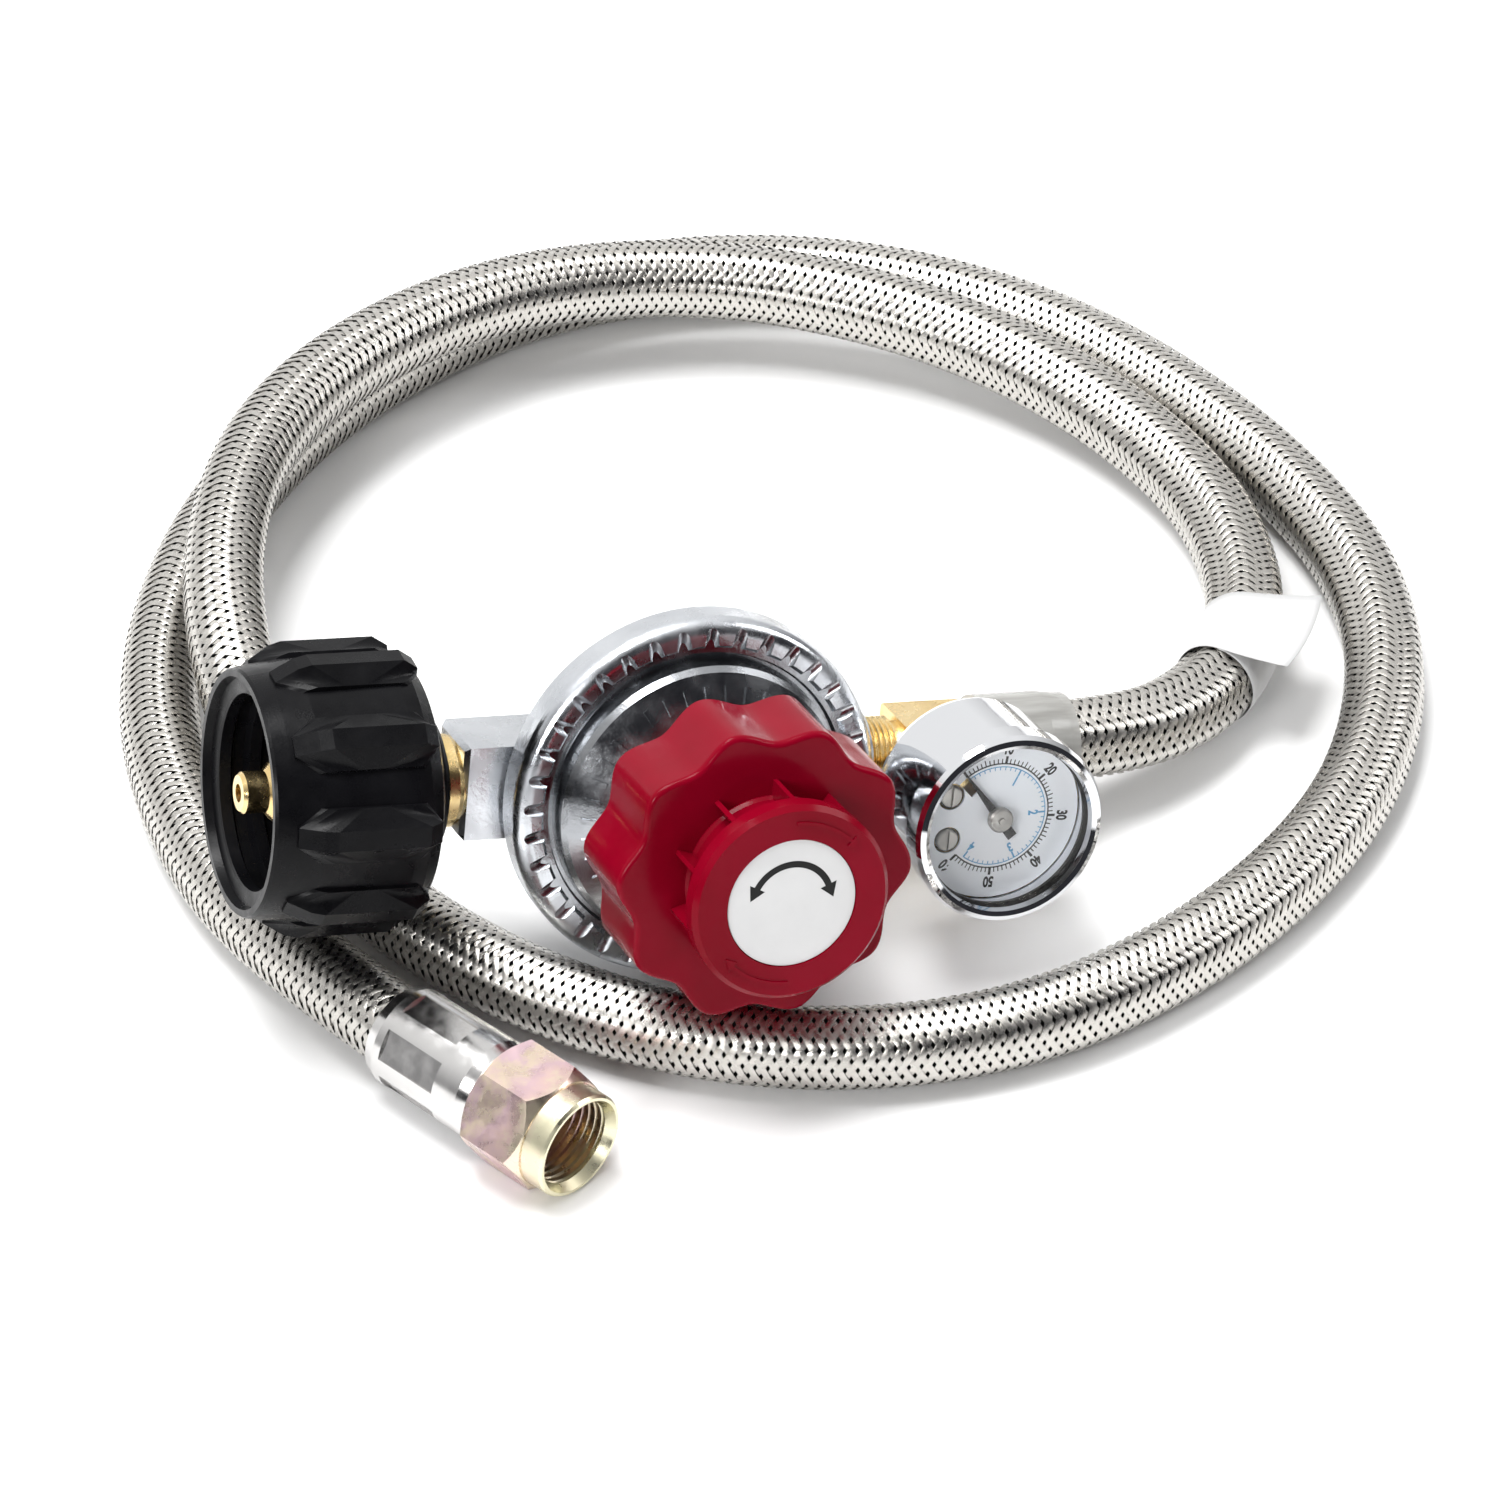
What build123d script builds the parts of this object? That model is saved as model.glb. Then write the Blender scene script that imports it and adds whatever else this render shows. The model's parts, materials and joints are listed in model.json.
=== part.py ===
"""Propane regulator hose: an adjustable regulator with a cylinder coupling nut, a pressure gauge on a tee and
a braided hose that ends in a 3/8 inch flare nut.  Millimetres, +Z up, the surface it lies on at Z = 0."""

import os
from math import cos, degrees, pi, radians, sin, tan

from build123d import *

os.makedirs("parts", exist_ok=True)

# ----------------------------------------------------------------------------------------------------------
# Driving dimensions
# ----------------------------------------------------------------------------------------------------------
FLOW_TILT = 10.8  # degrees: the coupling nut lies on the hose, so the flow axis falls towards the tee
KNOB_TILT = 15.5  # degrees: the knob axis above the horizontal
BODY_CENTRE = Vector(3.1, 8.3, 30.7)  # middle of the body's rim
PORT_DROP = 9.4  # the flow axis lies this far behind the rim, along the knob axis
GAUGE_X = 46.6  # the gauge axis, along the flow axis from the knob axis
RUN = 0.08  # radial running clearance of a shaft in its hole

# regulator body and bonnet: radii, and heights along the knob axis from the rim's rear edge
RIM_R = 31.0
LIP_R = 26.2  # inner edge of the lip that is rolled over the bonnet
LIP_TOP = 5.0
RIM_ROUND = 2.6
CRIMPS = 36
CRIMP_R = 1.25
CHAMBER_R = 23.0
CHAMBER_FLOOR = -4.0
BODY_REAR = -20.0
DIAPHRAGM_SEAT = 1.0
DIAPHRAGM_T = 1.2
BONNET_FLANGE_R = 28.0
CONE_SLOPE = 27.8
CONE_MIDDLE = 9.65  # height of the cone halfway out
NECK_R = 13.5
NECK_TOP = 31.0
NECK_WALL = 3.0
SPRING_BORE_R = 10.5

# adjusting screw, spring button and knob
SCREW_R = 4.0
SCREW_HEAD_R = 5.5
SCREW_FRONT = 43.5
KNOB_LOBES = 10
KNOB_R = 25.0
KNOB_VALLEY = 2.4
SKIRT_REAR = 20.0
SKIRT_FRONT = 36.0
SKIRT_WALL = 2.8
HUB_R = 13.4
HUB_RIBS = 10
FLANGE_R = 16.5
FLANGE_REAR = 43.4
KNOB_FACE = 47.4
LABEL_R = 10.7

# inlet: positions along the flow axis from the knob axis
BLOCK_END = -37.5
BLOCK_W = 16.0
BLOCK_D = 13.0
BLOCK_L = 20.0
MOUTH_X = -73.4
NUT_REAR = -44.0
NUT_R = 21.5
NUT_GRIP_R = 23.9
NUT_GRIPS = 9
GRIP_TOP_W = 3.4
GRIP_SIDE_W = 2.9
GRIP_SIDE_SLOPE = 40
THREAD_R = 17.2
THREAD_PITCH = 5.08  # five threads to the inch
BUSH_R = 9.0
NIPPLE_R = 6.5
NIPPLE_TIP_R = 3.4

# outlet: tee, hose end and gauge
OUTLET_END = 33.0
TEE_W = 13.0
TEE_X = (39.5, 53.5)
STEM_THREAD_L = 3.6
GAUGE_THREAD_L = 2.0
SLEEVE_END = 70.0
TUBE_START = 56.0
HOSE_R = 7.0
HOSE_BORE_R = 4.0
FLAG_L = 13.0
FLAG_W = 17.0
CASE_R = 15.2
CASE_REAR = 3.5
CASE_FRONT = 22.0
BEZEL_R = 16.2
BEZEL_FRONT = 25.4
DIAL_TOP = 18.7
ZERO_ANGLE = 129.0  # the pointer's rest, degrees about the gauge axis
PINION_TEETH = 8
SECTOR_TEETH = 48  # on a full circle
MODULE = 0.3

# far end: flare nut mouth, and where the nut and the ferrule start behind it
FITTING_MOUTH = Vector(-32.4, -45.5, 9.5)
FITTING_HEADING = Vector(0.48, -0.877, 0).normalized()
FLARE_NUT_L = 17.0
FERRULE_L = 23.0
FLARE_AF = 19.0
FLARE_THREAD_R = 7.3  # minor radius of a 5/8-18 thread
FLARE_PITCH = 1.411  # eighteen threads to the inch
FLARE_RELIEF_R = 7.9  # turned out behind the thread, round the stem's nose

# the hose's route: straight first and last runs, and the corner points that tangent arcs round off
FIRST_RUN = 22.0
LAST_RUN = 37.0
ROUTE = [
    (97.5, 23.5, 10.6),
    (111.5, 37, 8.8),
    (120, 56, 7.8),
    (122, 83, 8.0),
    (110, 114, 10.4),
    (88, 141, 13.2),
    (53, 161, 16.4),
    (10, 162, 19.6),
    (-32, 138, 21.6),
    (-54, 95, 21.8),
    (-55, 50, 8.0),
    (-38, 5, 7.0),
    (-3, -29.5, 7.0),
    (42, -41, 7.0),
    (87, -27, 7.0),
    (123, 2, 7.0),
    (141.5, 45, 7.0),
    (136, 91, 7.0),
    (116, 136, 7.0),
    (80, 167, 7.0),
    (33, 176.5, 7.0),
    (-11, 161, 7.0),
    (-45, 130, 7.0),
    (-67.5, 88, 7.0),
    (-71, 43, 7.0),
]

# ----------------------------------------------------------------------------------------------------------
# Axes and planes.  flow: inlet to outlet.  front: out of the knob.  up: square to both.
# ----------------------------------------------------------------------------------------------------------
flow = Vector(cos(radians(FLOW_TILT)), 0, -sin(radians(FLOW_TILT)))
across = Vector(sin(radians(FLOW_TILT)), 0, cos(radians(FLOW_TILT)))
front = Vector(0, -1, 0) * cos(radians(KNOB_TILT)) + across * sin(radians(KNOB_TILT))
up = front.cross(flow)

port_centre = BODY_CENTRE - front * PORT_DROP
gauge_centre = BODY_CENTRE + flow * GAUGE_X
knob_axis = Axis(BODY_CENTRE, front)
flow_axis = Axis(port_centre, flow)
gauge_axis = Axis(gauge_centre, front)
fitting_axis = Axis(FITTING_MOUTH, FITTING_HEADING)


def section(centre, radial, axial):
    """Plane whose x is the radius and whose y runs along the axis."""
    return Plane(origin=centre, x_dir=radial, z_dir=radial.cross(axial))


knob_section = section(BODY_CENTRE, flow, front)
flow_section = section(port_centre, up, flow)
gauge_section = section(gauge_centre, flow, front)
fitting_section = section(FITTING_MOUTH, Vector(0, 0, 1), FITTING_HEADING)


def knob_face(height):
    return Plane(origin=BODY_CENTRE + front * height, x_dir=flow, z_dir=front)


def gauge_face(height):
    return Plane(origin=gauge_centre + front * height, x_dir=flow, z_dir=front)


def flow_face(distance):
    return Plane(origin=port_centre + flow * distance, x_dir=up, z_dir=flow)


def fitting_face(distance):
    """Square to the far fitting, this far behind its mouth."""
    origin = FITTING_MOUTH - FITTING_HEADING * distance
    return Plane(origin=origin, x_dir=Vector(0, 0, 1), z_dir=FITTING_HEADING)


def turn(plane, axis, points, mode=Mode.ADD):
    """Revolve the closed outline of (radius, height) points."""
    with BuildSketch(plane) as outline:
        with BuildLine():
            Polyline(*points, close=True)
        make_face()
    revolve(outline.sketch, axis=axis, mode=mode)


def polar(radius, angle):
    return (radius * cos(radians(angle)), radius * sin(radians(angle)))


def bore(plane, radius, depth, mode=Mode.SUBTRACT):
    """A round hole, or a round boss, from the plane along its normal."""
    with BuildSketch(plane) as disc:
        Circle(radius)
    extrude(disc.sketch, amount=depth, mode=mode)


def ring_grooves(radius, depth, pitch, start, count):
    """Outline corners of the crests and roots of a thread, along the axis from start."""
    corners = []
    for i in range(count):
        base = start + i * pitch
        corners += [(radius, base), (radius - depth, base + pitch * 0.35)]
        corners += [(radius - depth, base + pitch * 0.5), (radius, base + pitch * 0.85)]
    return corners


def coil(axis_origin, axial, radius, wire_r, length, turns):
    """A compression spring with its closed ends left as plain wire ends."""
    with BuildLine() as helix:
        Helix(pitch=length / turns, height=length, radius=radius, center=axis_origin, direction=axial)
    with BuildSketch(Plane(origin=helix.line @ 0, z_dir=helix.line % 0)) as wire:
        Circle(wire_r)
    sweep(wire.sketch, path=helix.line, is_frenet=True)


def finish(builder, name, colour):
    builder.part.label = name
    builder.part.color = Color(*colour)
    export_step(builder.part, f"parts/{name}.step")


ZINC = (0.72, 0.73, 0.75)
BRASS = (0.78, 0.60, 0.28)
STEEL = (0.62, 0.63, 0.65)
CHROME = (0.85, 0.86, 0.88)
BLACK = (0.04, 0.04, 0.04)
RED = (0.45, 0.02, 0.05)
WHITE = (0.93, 0.93, 0.93)
RUBBER = (0.06, 0.06, 0.06)
CLEAR = (0.8, 0.8, 0.8)
YELLOW_ZINC = (0.78, 0.70, 0.55)

# ----------------------------------------------------------------------------------------------------------
# Regulator body: a die-cast cup with the inlet block, the outlet boss and a lip rolled over the bonnet
# ----------------------------------------------------------------------------------------------------------
with BuildPart() as regulator_body:
    turn(
        knob_section,
        knob_axis,
        [
            (0, BODY_REAR),
            (16, BODY_REAR),
            (20.5, BODY_REAR + 3.5),
            (20.5, -9.5),
            (25.5, -6.5),
            (25.5, -2.4),
            (RIM_R - 0.6, -2.4),
            (RIM_R, -1.8),
            (RIM_R, LIP_TOP),
            (LIP_R + 0.6, LIP_TOP),
            (LIP_R, LIP_TOP - 0.8),
            (BONNET_FLANGE_R + 0.1, LIP_TOP - 0.8),
            (BONNET_FLANGE_R + 0.1, DIAPHRAGM_SEAT),
            (CHAMBER_R, DIAPHRAGM_SEAT),
            (CHAMBER_R, CHAMBER_FLOOR),
            (0, CHAMBER_FLOOR),
        ],
    )
    rim_edges = edges().filter_by(GeomType.CIRCLE).filter_by(lambda edge: abs(edge.radius - RIM_R) < 0.01)
    fillet(rim_edges.sort_by(knob_axis)[-1], RIM_ROUND)
    with BuildSketch(flow_face(BLOCK_END)):
        Rectangle(BLOCK_W, BLOCK_D)
    extrude(amount=BLOCK_L)
    chamfer(faces().sort_by(flow_axis)[0].edges(), 0.8)
    with BuildSketch(flow_face(BLOCK_END + 9)):
        Circle(7.4)
    extrude(amount=14)
    with BuildSketch(flow_face(15)):
        Circle(8.2)
    extrude(amount=OUTLET_END - 15)
    # crimps pressed into the lip's inner edge
    with Locations(knob_face(LIP_TOP + 0.3)):
        with PolarLocations(LIP_R + 0.6, CRIMPS):
            Cylinder(CRIMP_R, 5.6, rotation=(0, 78, 0), mode=Mode.SUBTRACT)
    # diaphragm chamber stays round behind the crimps; passages: inlet, seat bore, outlet
    bore(flow_face(BLOCK_END), 6.3, 9)
    bore(flow_face(BLOCK_END + 9), 2.5, 25)
    bore(knob_face(-17.5), 5.2, 13.5)
    bore(flow_face(11), 3.0, 14)
    bore(flow_face(OUTLET_END - 10), 6.3, 10)
    with BuildSketch(knob_face(-PORT_DROP)):
        with Locations((14, 0)):
            Circle(2.2)
    extrude(amount=PORT_DROP + CHAMBER_FLOOR, mode=Mode.SUBTRACT)
finish(regulator_body, "regulator_body", ZINC)

# ----------------------------------------------------------------------------------------------------------
# Bonnet: cone and neck that hold the adjusting spring
# ----------------------------------------------------------------------------------------------------------
with BuildPart() as bonnet:
    turn(
        knob_section,
        knob_axis,
        [
            (22.0, DIAPHRAGM_SEAT + DIAPHRAGM_T),
            (BONNET_FLANGE_R, DIAPHRAGM_SEAT + DIAPHRAGM_T),
            (BONNET_FLANGE_R, LIP_TOP - 0.8),
            (25.4, LIP_TOP - 0.8),
            (25.0, 3.2),
            (24.4, 3.2),
            (24.2, 7.0),
            (23.4, 8.0),
            (15.8, 12.0),
            (14.2, 13.6),
            (NECK_R, 16.0),
            (NECK_R, NECK_TOP - 0.8),
            (NECK_R - 0.8, NECK_TOP),
            (SCREW_R + RUN, NECK_TOP),
            (SCREW_R + RUN, NECK_TOP - NECK_WALL),
            (SPRING_BORE_R, NECK_TOP - NECK_WALL),
            (SPRING_BORE_R, 10.6),
            (13.0, 9.2),
            (21.6, 4.8),
        ],
    )
    # two keyways that stop the spring button from turning
    with BuildSketch(knob_face(10.6)):
        Rectangle(2 * (SPRING_BORE_R + 1.0), 3.0)
    extrude(amount=NECK_TOP - NECK_WALL - 10.6, mode=Mode.SUBTRACT)
    # raised marks round the cone
    with Locations(knob_face(CONE_MIDDLE)):
        with PolarLocations(20.3, 25, -20, 240):
            Box(2.8, 0.9, 0.8, rotation=(0, CONE_SLOPE, 0))
    # vent
    with BuildSketch(knob_face(4.0)):
        with PolarLocations(19.0, 1, -40):
            Circle(0.9)
    extrude(amount=10, mode=Mode.SUBTRACT)
finish(bonnet, "bonnet", ZINC)

# ----------------------------------------------------------------------------------------------------------
# Diaphragm with one convolution, its plate and washer
# ----------------------------------------------------------------------------------------------------------
low = DIAPHRAGM_SEAT
high = DIAPHRAGM_SEAT + DIAPHRAGM_T
with BuildPart() as diaphragm:
    turn(
        knob_section,
        knob_axis,
        [
            (2.1, low),
            (17.2, low),
            (18.4, low + 1.4),
            (19.8, low + 1.4),
            (21.0, low),
            (BONNET_FLANGE_R - 0.2, low),
            (BONNET_FLANGE_R - 0.2, high),
            (21.5, high),
            (20.2, high + 1.4),
            (18.0, high + 1.4),
            (16.7, high),
            (2.1, high),
        ],
    )
finish(diaphragm, "diaphragm", RUBBER)

with BuildPart() as diaphragm_plate:
    turn(
        knob_section,
        knob_axis,
        [
            (0, -0.3),
            (2.0, -0.3),
            (2.0, high),
            (15.0, high),
            (15.0, high + 1.6),
            (14.0, high + 1.6),
            (14.0, high + 0.9),
            (0, high + 0.9),
        ],
    )
finish(diaphragm_plate, "diaphragm_plate", STEEL)

with BuildPart() as diaphragm_washer:
    turn(knob_section, knob_axis, [(2.0, low - 0.9), (9.0, low - 0.9), (9.0, low), (2.0, low)])
finish(diaphragm_washer, "diaphragm_washer", STEEL)

# ----------------------------------------------------------------------------------------------------------
# Valve: pressed-in seat, poppet and its return spring
# ----------------------------------------------------------------------------------------------------------
with BuildPart() as valve_seat:
    turn(
        knob_section,
        knob_axis,
        [(1.7, -6.4), (5.2, -6.4), (5.2, CHAMBER_FLOOR), (2.6, CHAMBER_FLOOR), (1.7, -5)],
    )
finish(valve_seat, "valve_seat", BRASS)

with BuildPart() as valve_poppet:
    turn(
        knob_section,
        knob_axis,
        [
            (0, -12.0),
            (1.6, -12.0),
            (1.6, -9.4),
            (3.6, -9.4),
            (3.6, -7.4),
            (2.4, -6.45),
            (1.1, -6.45),
            (1.1, -0.3),
            (0, -0.3),
        ],
    )
finish(valve_poppet, "valve_poppet", BRASS)

with BuildPart() as poppet_spring:
    coil(BODY_CENTRE + front * -17.1, front, 2.9, 0.35, 7.2, 5)
finish(poppet_spring, "poppet_spring", STEEL)

# ----------------------------------------------------------------------------------------------------------
# Adjusting spring, spring button, screw and circlip
# ----------------------------------------------------------------------------------------------------------
BUTTON_Z = 23.8
with BuildPart() as adjusting_spring:
    coil(BODY_CENTRE + front * (high + 0.9 + 1.0), front, 8.3, 0.9, BUTTON_Z - (high + 0.9) - 2.0, 5.5)
finish(adjusting_spring, "adjusting_spring", STEEL)

with BuildPart() as spring_button:
    turn(
        knob_section,
        knob_axis,
        [
            (SCREW_R + RUN, BUTTON_Z - 6.5),
            (6.4, BUTTON_Z - 6.5),
            (6.4, BUTTON_Z),
            (SPRING_BORE_R - 0.3, BUTTON_Z),
            (SPRING_BORE_R - 0.3, BUTTON_Z + 2.4),
            (SCREW_R + RUN, BUTTON_Z + 2.4),
        ],
    )
    with BuildSketch(knob_face(BUTTON_Z)):
        with PolarLocations(SPRING_BORE_R - 0.4, 2):
            Rectangle(2.2, 2.4)
    extrude(amount=2.4)
finish(spring_button, "spring_button", BRASS)

with BuildPart() as adjusting_screw:
    turn(
        knob_section,
        knob_axis,
        [(0, 12.5), (SCREW_R - 0.6, 12.5)]
        + ring_grooves(SCREW_R, 0.5, 1.25, 13.1, 10)
        + [
            (SCREW_R, 26.9),
            (3.2, 26.9),
            (3.2, 27.8),
            (SCREW_R, 27.8),
            (SCREW_R, NECK_TOP + 0.05),
            (7.5, NECK_TOP + 0.05),
            (7.5, NECK_TOP + 1.6),
            (SCREW_HEAD_R, NECK_TOP + 1.6),
            (SCREW_HEAD_R, SCREW_FRONT - 0.5),
            (SCREW_HEAD_R - 0.5, SCREW_FRONT),
            (0, SCREW_FRONT),
        ],
    )
finish(adjusting_screw, "adjusting_screw", BRASS)

with BuildPart() as screw_circlip:
    with BuildSketch(knob_face(27.0)):
        Circle(6.2)
        Circle(3.25, mode=Mode.SUBTRACT)
        with Locations((-5, 0)):
            Rectangle(6, 2.6, mode=Mode.SUBTRACT)
    extrude(amount=0.7)
finish(screw_circlip, "screw_circlip", STEEL)


# ----------------------------------------------------------------------------------------------------------
# Knob: lobed skirt, ribbed hub and a flange with a recess for the label
# ----------------------------------------------------------------------------------------------------------
def lobed_outline(radius, valley, lobes):
    """Closed spline through the tops and bottoms of the lobes."""
    points = []
    for i in range(4 * lobes):
        angle = radians(90 * i / lobes)
        reach = radius - valley / 2 + valley / 2 * cos(radians(90 * i))
        points.append((reach * cos(angle), reach * sin(angle)))
    Spline(*points, periodic=True)


with BuildPart() as knob:
    with BuildSketch(knob_face(SKIRT_REAR)):
        with BuildLine():
            lobed_outline(KNOB_R, KNOB_VALLEY, KNOB_LOBES)
        make_face()
    extrude(amount=SKIRT_FRONT - SKIRT_REAR)
    fillet(faces().sort_by(knob_axis)[-1].edges(), 0.9)
    bore(knob_face(SKIRT_REAR), KNOB_R - KNOB_VALLEY - SKIRT_WALL, SKIRT_FRONT - SKIRT_REAR - SKIRT_WALL)
    turn(
        knob_section,
        knob_axis,
        [
            (0, NECK_TOP + 1.65),
            (9.0, NECK_TOP + 1.65),
            (9.0, SKIRT_FRONT - 0.5),
            (HUB_R + 0.4, SKIRT_FRONT - 0.5),
            (HUB_R + 0.4, SKIRT_FRONT + 0.3),
            (HUB_R, SKIRT_FRONT + 0.9),
            (HUB_R, FLANGE_REAR),
            (FLANGE_R - 0.4, FLANGE_REAR),
            (FLANGE_R, FLANGE_REAR + 0.5),
            (FLANGE_R, KNOB_FACE - 0.9),
            (FLANGE_R - 0.8, KNOB_FACE),
            (LABEL_R + 0.15, KNOB_FACE),
            (LABEL_R + 0.15, KNOB_FACE - 0.7),
            (0, KNOB_FACE - 0.7),
        ],
    )
    with BuildSketch(knob_face(SKIRT_FRONT - 0.3)):
        with PolarLocations((HUB_R + FLANGE_R) / 2 - 0.4, HUB_RIBS, 18):
            Rectangle(FLANGE_R - HUB_R + 0.6, 0.8)
    extrude(amount=FLANGE_REAR - SKIRT_FRONT + 0.6)
    bore(knob_face(NECK_TOP + 1.65), SCREW_HEAD_R + 0.02, SCREW_FRONT + 0.05 - NECK_TOP - 1.65)
    # raised turn arrows on the flange
    for middle in (70, 250):
        tip = middle - 22
        tail = middle + 22
        with BuildSketch(knob_face(KNOB_FACE - 0.05)):
            with BuildLine():
                CenterArc((0, 0), 13.9, tip, tail - tip)
                CenterArc((0, 0), 13.3, tip, tail - tip)
                Line(polar(13.9, tip), polar(13.3, tip))
                Line(polar(13.9, tail), polar(13.3, tail))
            make_face()
            with BuildLine():
                Polyline(polar(14.6, tip), polar(12.6, tip), polar(13.6, tip - 8), close=True)
            make_face()
        extrude(amount=0.3)
finish(knob, "knob", RED)

with BuildPart() as knob_label:
    with BuildSketch(knob_face(KNOB_FACE - 0.7)):
        Circle(LABEL_R)
    extrude(amount=0.4)
finish(knob_label, "knob_label", WHITE)

# ----------------------------------------------------------------------------------------------------------
# Inlet nipple with its excess-flow check
# ----------------------------------------------------------------------------------------------------------
TIP_X = MOUTH_X + 0.2
NIPPLE_FLANGE_X = -60.0
with BuildPart() as inlet_nipple:
    turn(
        flow_section,
        flow_axis,
        [
            (1.5, TIP_X),
            (NIPPLE_TIP_R - 0.5, TIP_X),
            (NIPPLE_TIP_R, TIP_X + 0.6),
            (NIPPLE_TIP_R, TIP_X + 4.2),
            (4.6, TIP_X + 5.2),
            (5.5, TIP_X + 6.4),
            (5.5, TIP_X + 8.2),
            (4.9, TIP_X + 8.2),
            (4.9, TIP_X + 9.0),
            (6.1, TIP_X + 9.4),
            (NIPPLE_R, TIP_X + 10.2),
            (NIPPLE_R, NIPPLE_FLANGE_X),
            (8.4, NIPPLE_FLANGE_X),
            (8.4, NIPPLE_FLANGE_X + 2.4),
            (NIPPLE_R, NIPPLE_FLANGE_X + 2.4),
            (NIPPLE_R, -40.4),
            (7.3, -40.4),
            (7.6, -40.0),
            (7.6, BLOCK_END - 0.8),
            (7.2, BLOCK_END),
            (6.3, BLOCK_END),
            (6.3, BLOCK_END + 8),
            (2.6, BLOCK_END + 8),
            (2.6, -46),
            (3.6, -46),
            (3.6, -64),
            (1.5, -65.5),
        ],
    )
finish(inlet_nipple, "inlet_nipple", BRASS)

with BuildPart() as flow_check_poppet:
    turn(
        flow_section,
        flow_axis,
        [
            (0, -62.8),
            (1.4, -62.8),
            (2.9, -61.4),
            (3.45, -61.0),
            (3.45, -59.4),
            (1.2, -59.4),
            (1.2, -56.6),
            (0, -56.0),
        ],
    )
finish(flow_check_poppet, "flow_check_poppet", BRASS)

with BuildPart() as flow_check_spring:
    coil(port_centre + flow * -59.0, flow, 2.9, 0.3, 9.6, 6)
finish(flow_check_spring, "flow_check_spring", STEEL)

with BuildPart() as flow_check_retainer:
    turn(flow_section, flow_axis, [(1.8, -49.0), (3.6, -49.0), (3.6, -46.0), (1.8, -46.0)])
finish(flow_check_retainer, "flow_check_retainer", BRASS)

# ----------------------------------------------------------------------------------------------------------
# Thermal bushing: slides a little on the nipple, and the coupling nut turns on it
# ----------------------------------------------------------------------------------------------------------
with BuildPart() as thermal_bushing:
    turn(
        flow_section,
        flow_axis,
        [
            (NIPPLE_R + RUN, -56.8),
            (12.0, -56.8),
            (12.0, -54.4),
            (BUSH_R, -54.4),
            (BUSH_R, NUT_REAR + 0.3),
            (11.4, NUT_REAR + 0.3),
            (11.4, -41.9),
            (10.9, -41.3),
            (NIPPLE_R + RUN, -41.3),
        ],
    )
finish(thermal_bushing, "thermal_bushing", BLACK)

# ----------------------------------------------------------------------------------------------------------
# Coupling nut: coarse inner thread, raised grips, open mouth
# ----------------------------------------------------------------------------------------------------------
THREAD_END = MOUTH_X + 3.5 * THREAD_PITCH
thread_corners = [(18.7, MOUTH_X), (18.3, MOUTH_X + 1.4), (16.4, MOUTH_X + 1.8)]
for i in range(3):
    base = MOUTH_X + 2.0 + i * THREAD_PITCH
    thread_corners += [
        (15.9, base),
        (15.9, base + 1.9),
        (THREAD_R, base + 2.6),
        (THREAD_R, base + 4.4),
    ]
grip_plane = section(port_centre, up, flow)


def grip_outline(plane):
    """Side view of a grip, with sloping ends; its root is inside the nut's wall."""
    with BuildSketch(plane) as outline:
        with BuildLine():
            Polyline(
                (17.6, MOUTH_X + 3.6),
                (NUT_R - 0.4, MOUTH_X + 3.6),
                (NUT_GRIP_R - 0.6, MOUTH_X + 7.2),
                (NUT_GRIP_R, MOUTH_X + 9.4),
                (NUT_GRIP_R, NUT_REAR - 4.6),
                (NUT_GRIP_R - 1.6, NUT_REAR - 2.2),
                (17.6, NUT_REAR - 2.2),
                close=True,
            )
        make_face()
    return outline.sketch


with BuildPart() as coupling_nut:
    turn(
        flow_section,
        flow_axis,
        thread_corners
        + [
            (15.9, THREAD_END + 0.2),
            (15.9, THREAD_END + 0.8),
            (14.0, -54.2),
            (BUSH_R + RUN, -54.2),
            (BUSH_R + RUN, NUT_REAR),
            (16.5, NUT_REAR),
            (19.6, NUT_REAR - 1.3),
            (21.2, NUT_REAR - 3.6),
            (NUT_R, NUT_REAR - 6),
            (NUT_R - 0.4, MOUTH_X + 8),
            (20.5, MOUTH_X + 3),
            (20.1, MOUTH_X + 0.5),
            (19.8, MOUTH_X),
        ],
    )
    # grips: a flat-topped pad with a sloping side on each side, repeated round the nut
    grip_middle = extrude(grip_outline(grip_plane), amount=GRIP_TOP_W / 2, both=True, mode=Mode.PRIVATE)
    grip_side = extrude(
        grip_outline(grip_plane.offset(GRIP_TOP_W / 2)),
        amount=GRIP_SIDE_W,
        taper=GRIP_SIDE_SLOPE,
        mode=Mode.PRIVATE,
    )
    for i in range(NUT_GRIPS):
        for piece in (grip_middle, grip_side, grip_side.mirror(grip_plane)):
            add(piece.rotate(flow_axis, i * 360 / NUT_GRIPS + 8))
finish(coupling_nut, "coupling_nut", BLACK)

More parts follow.
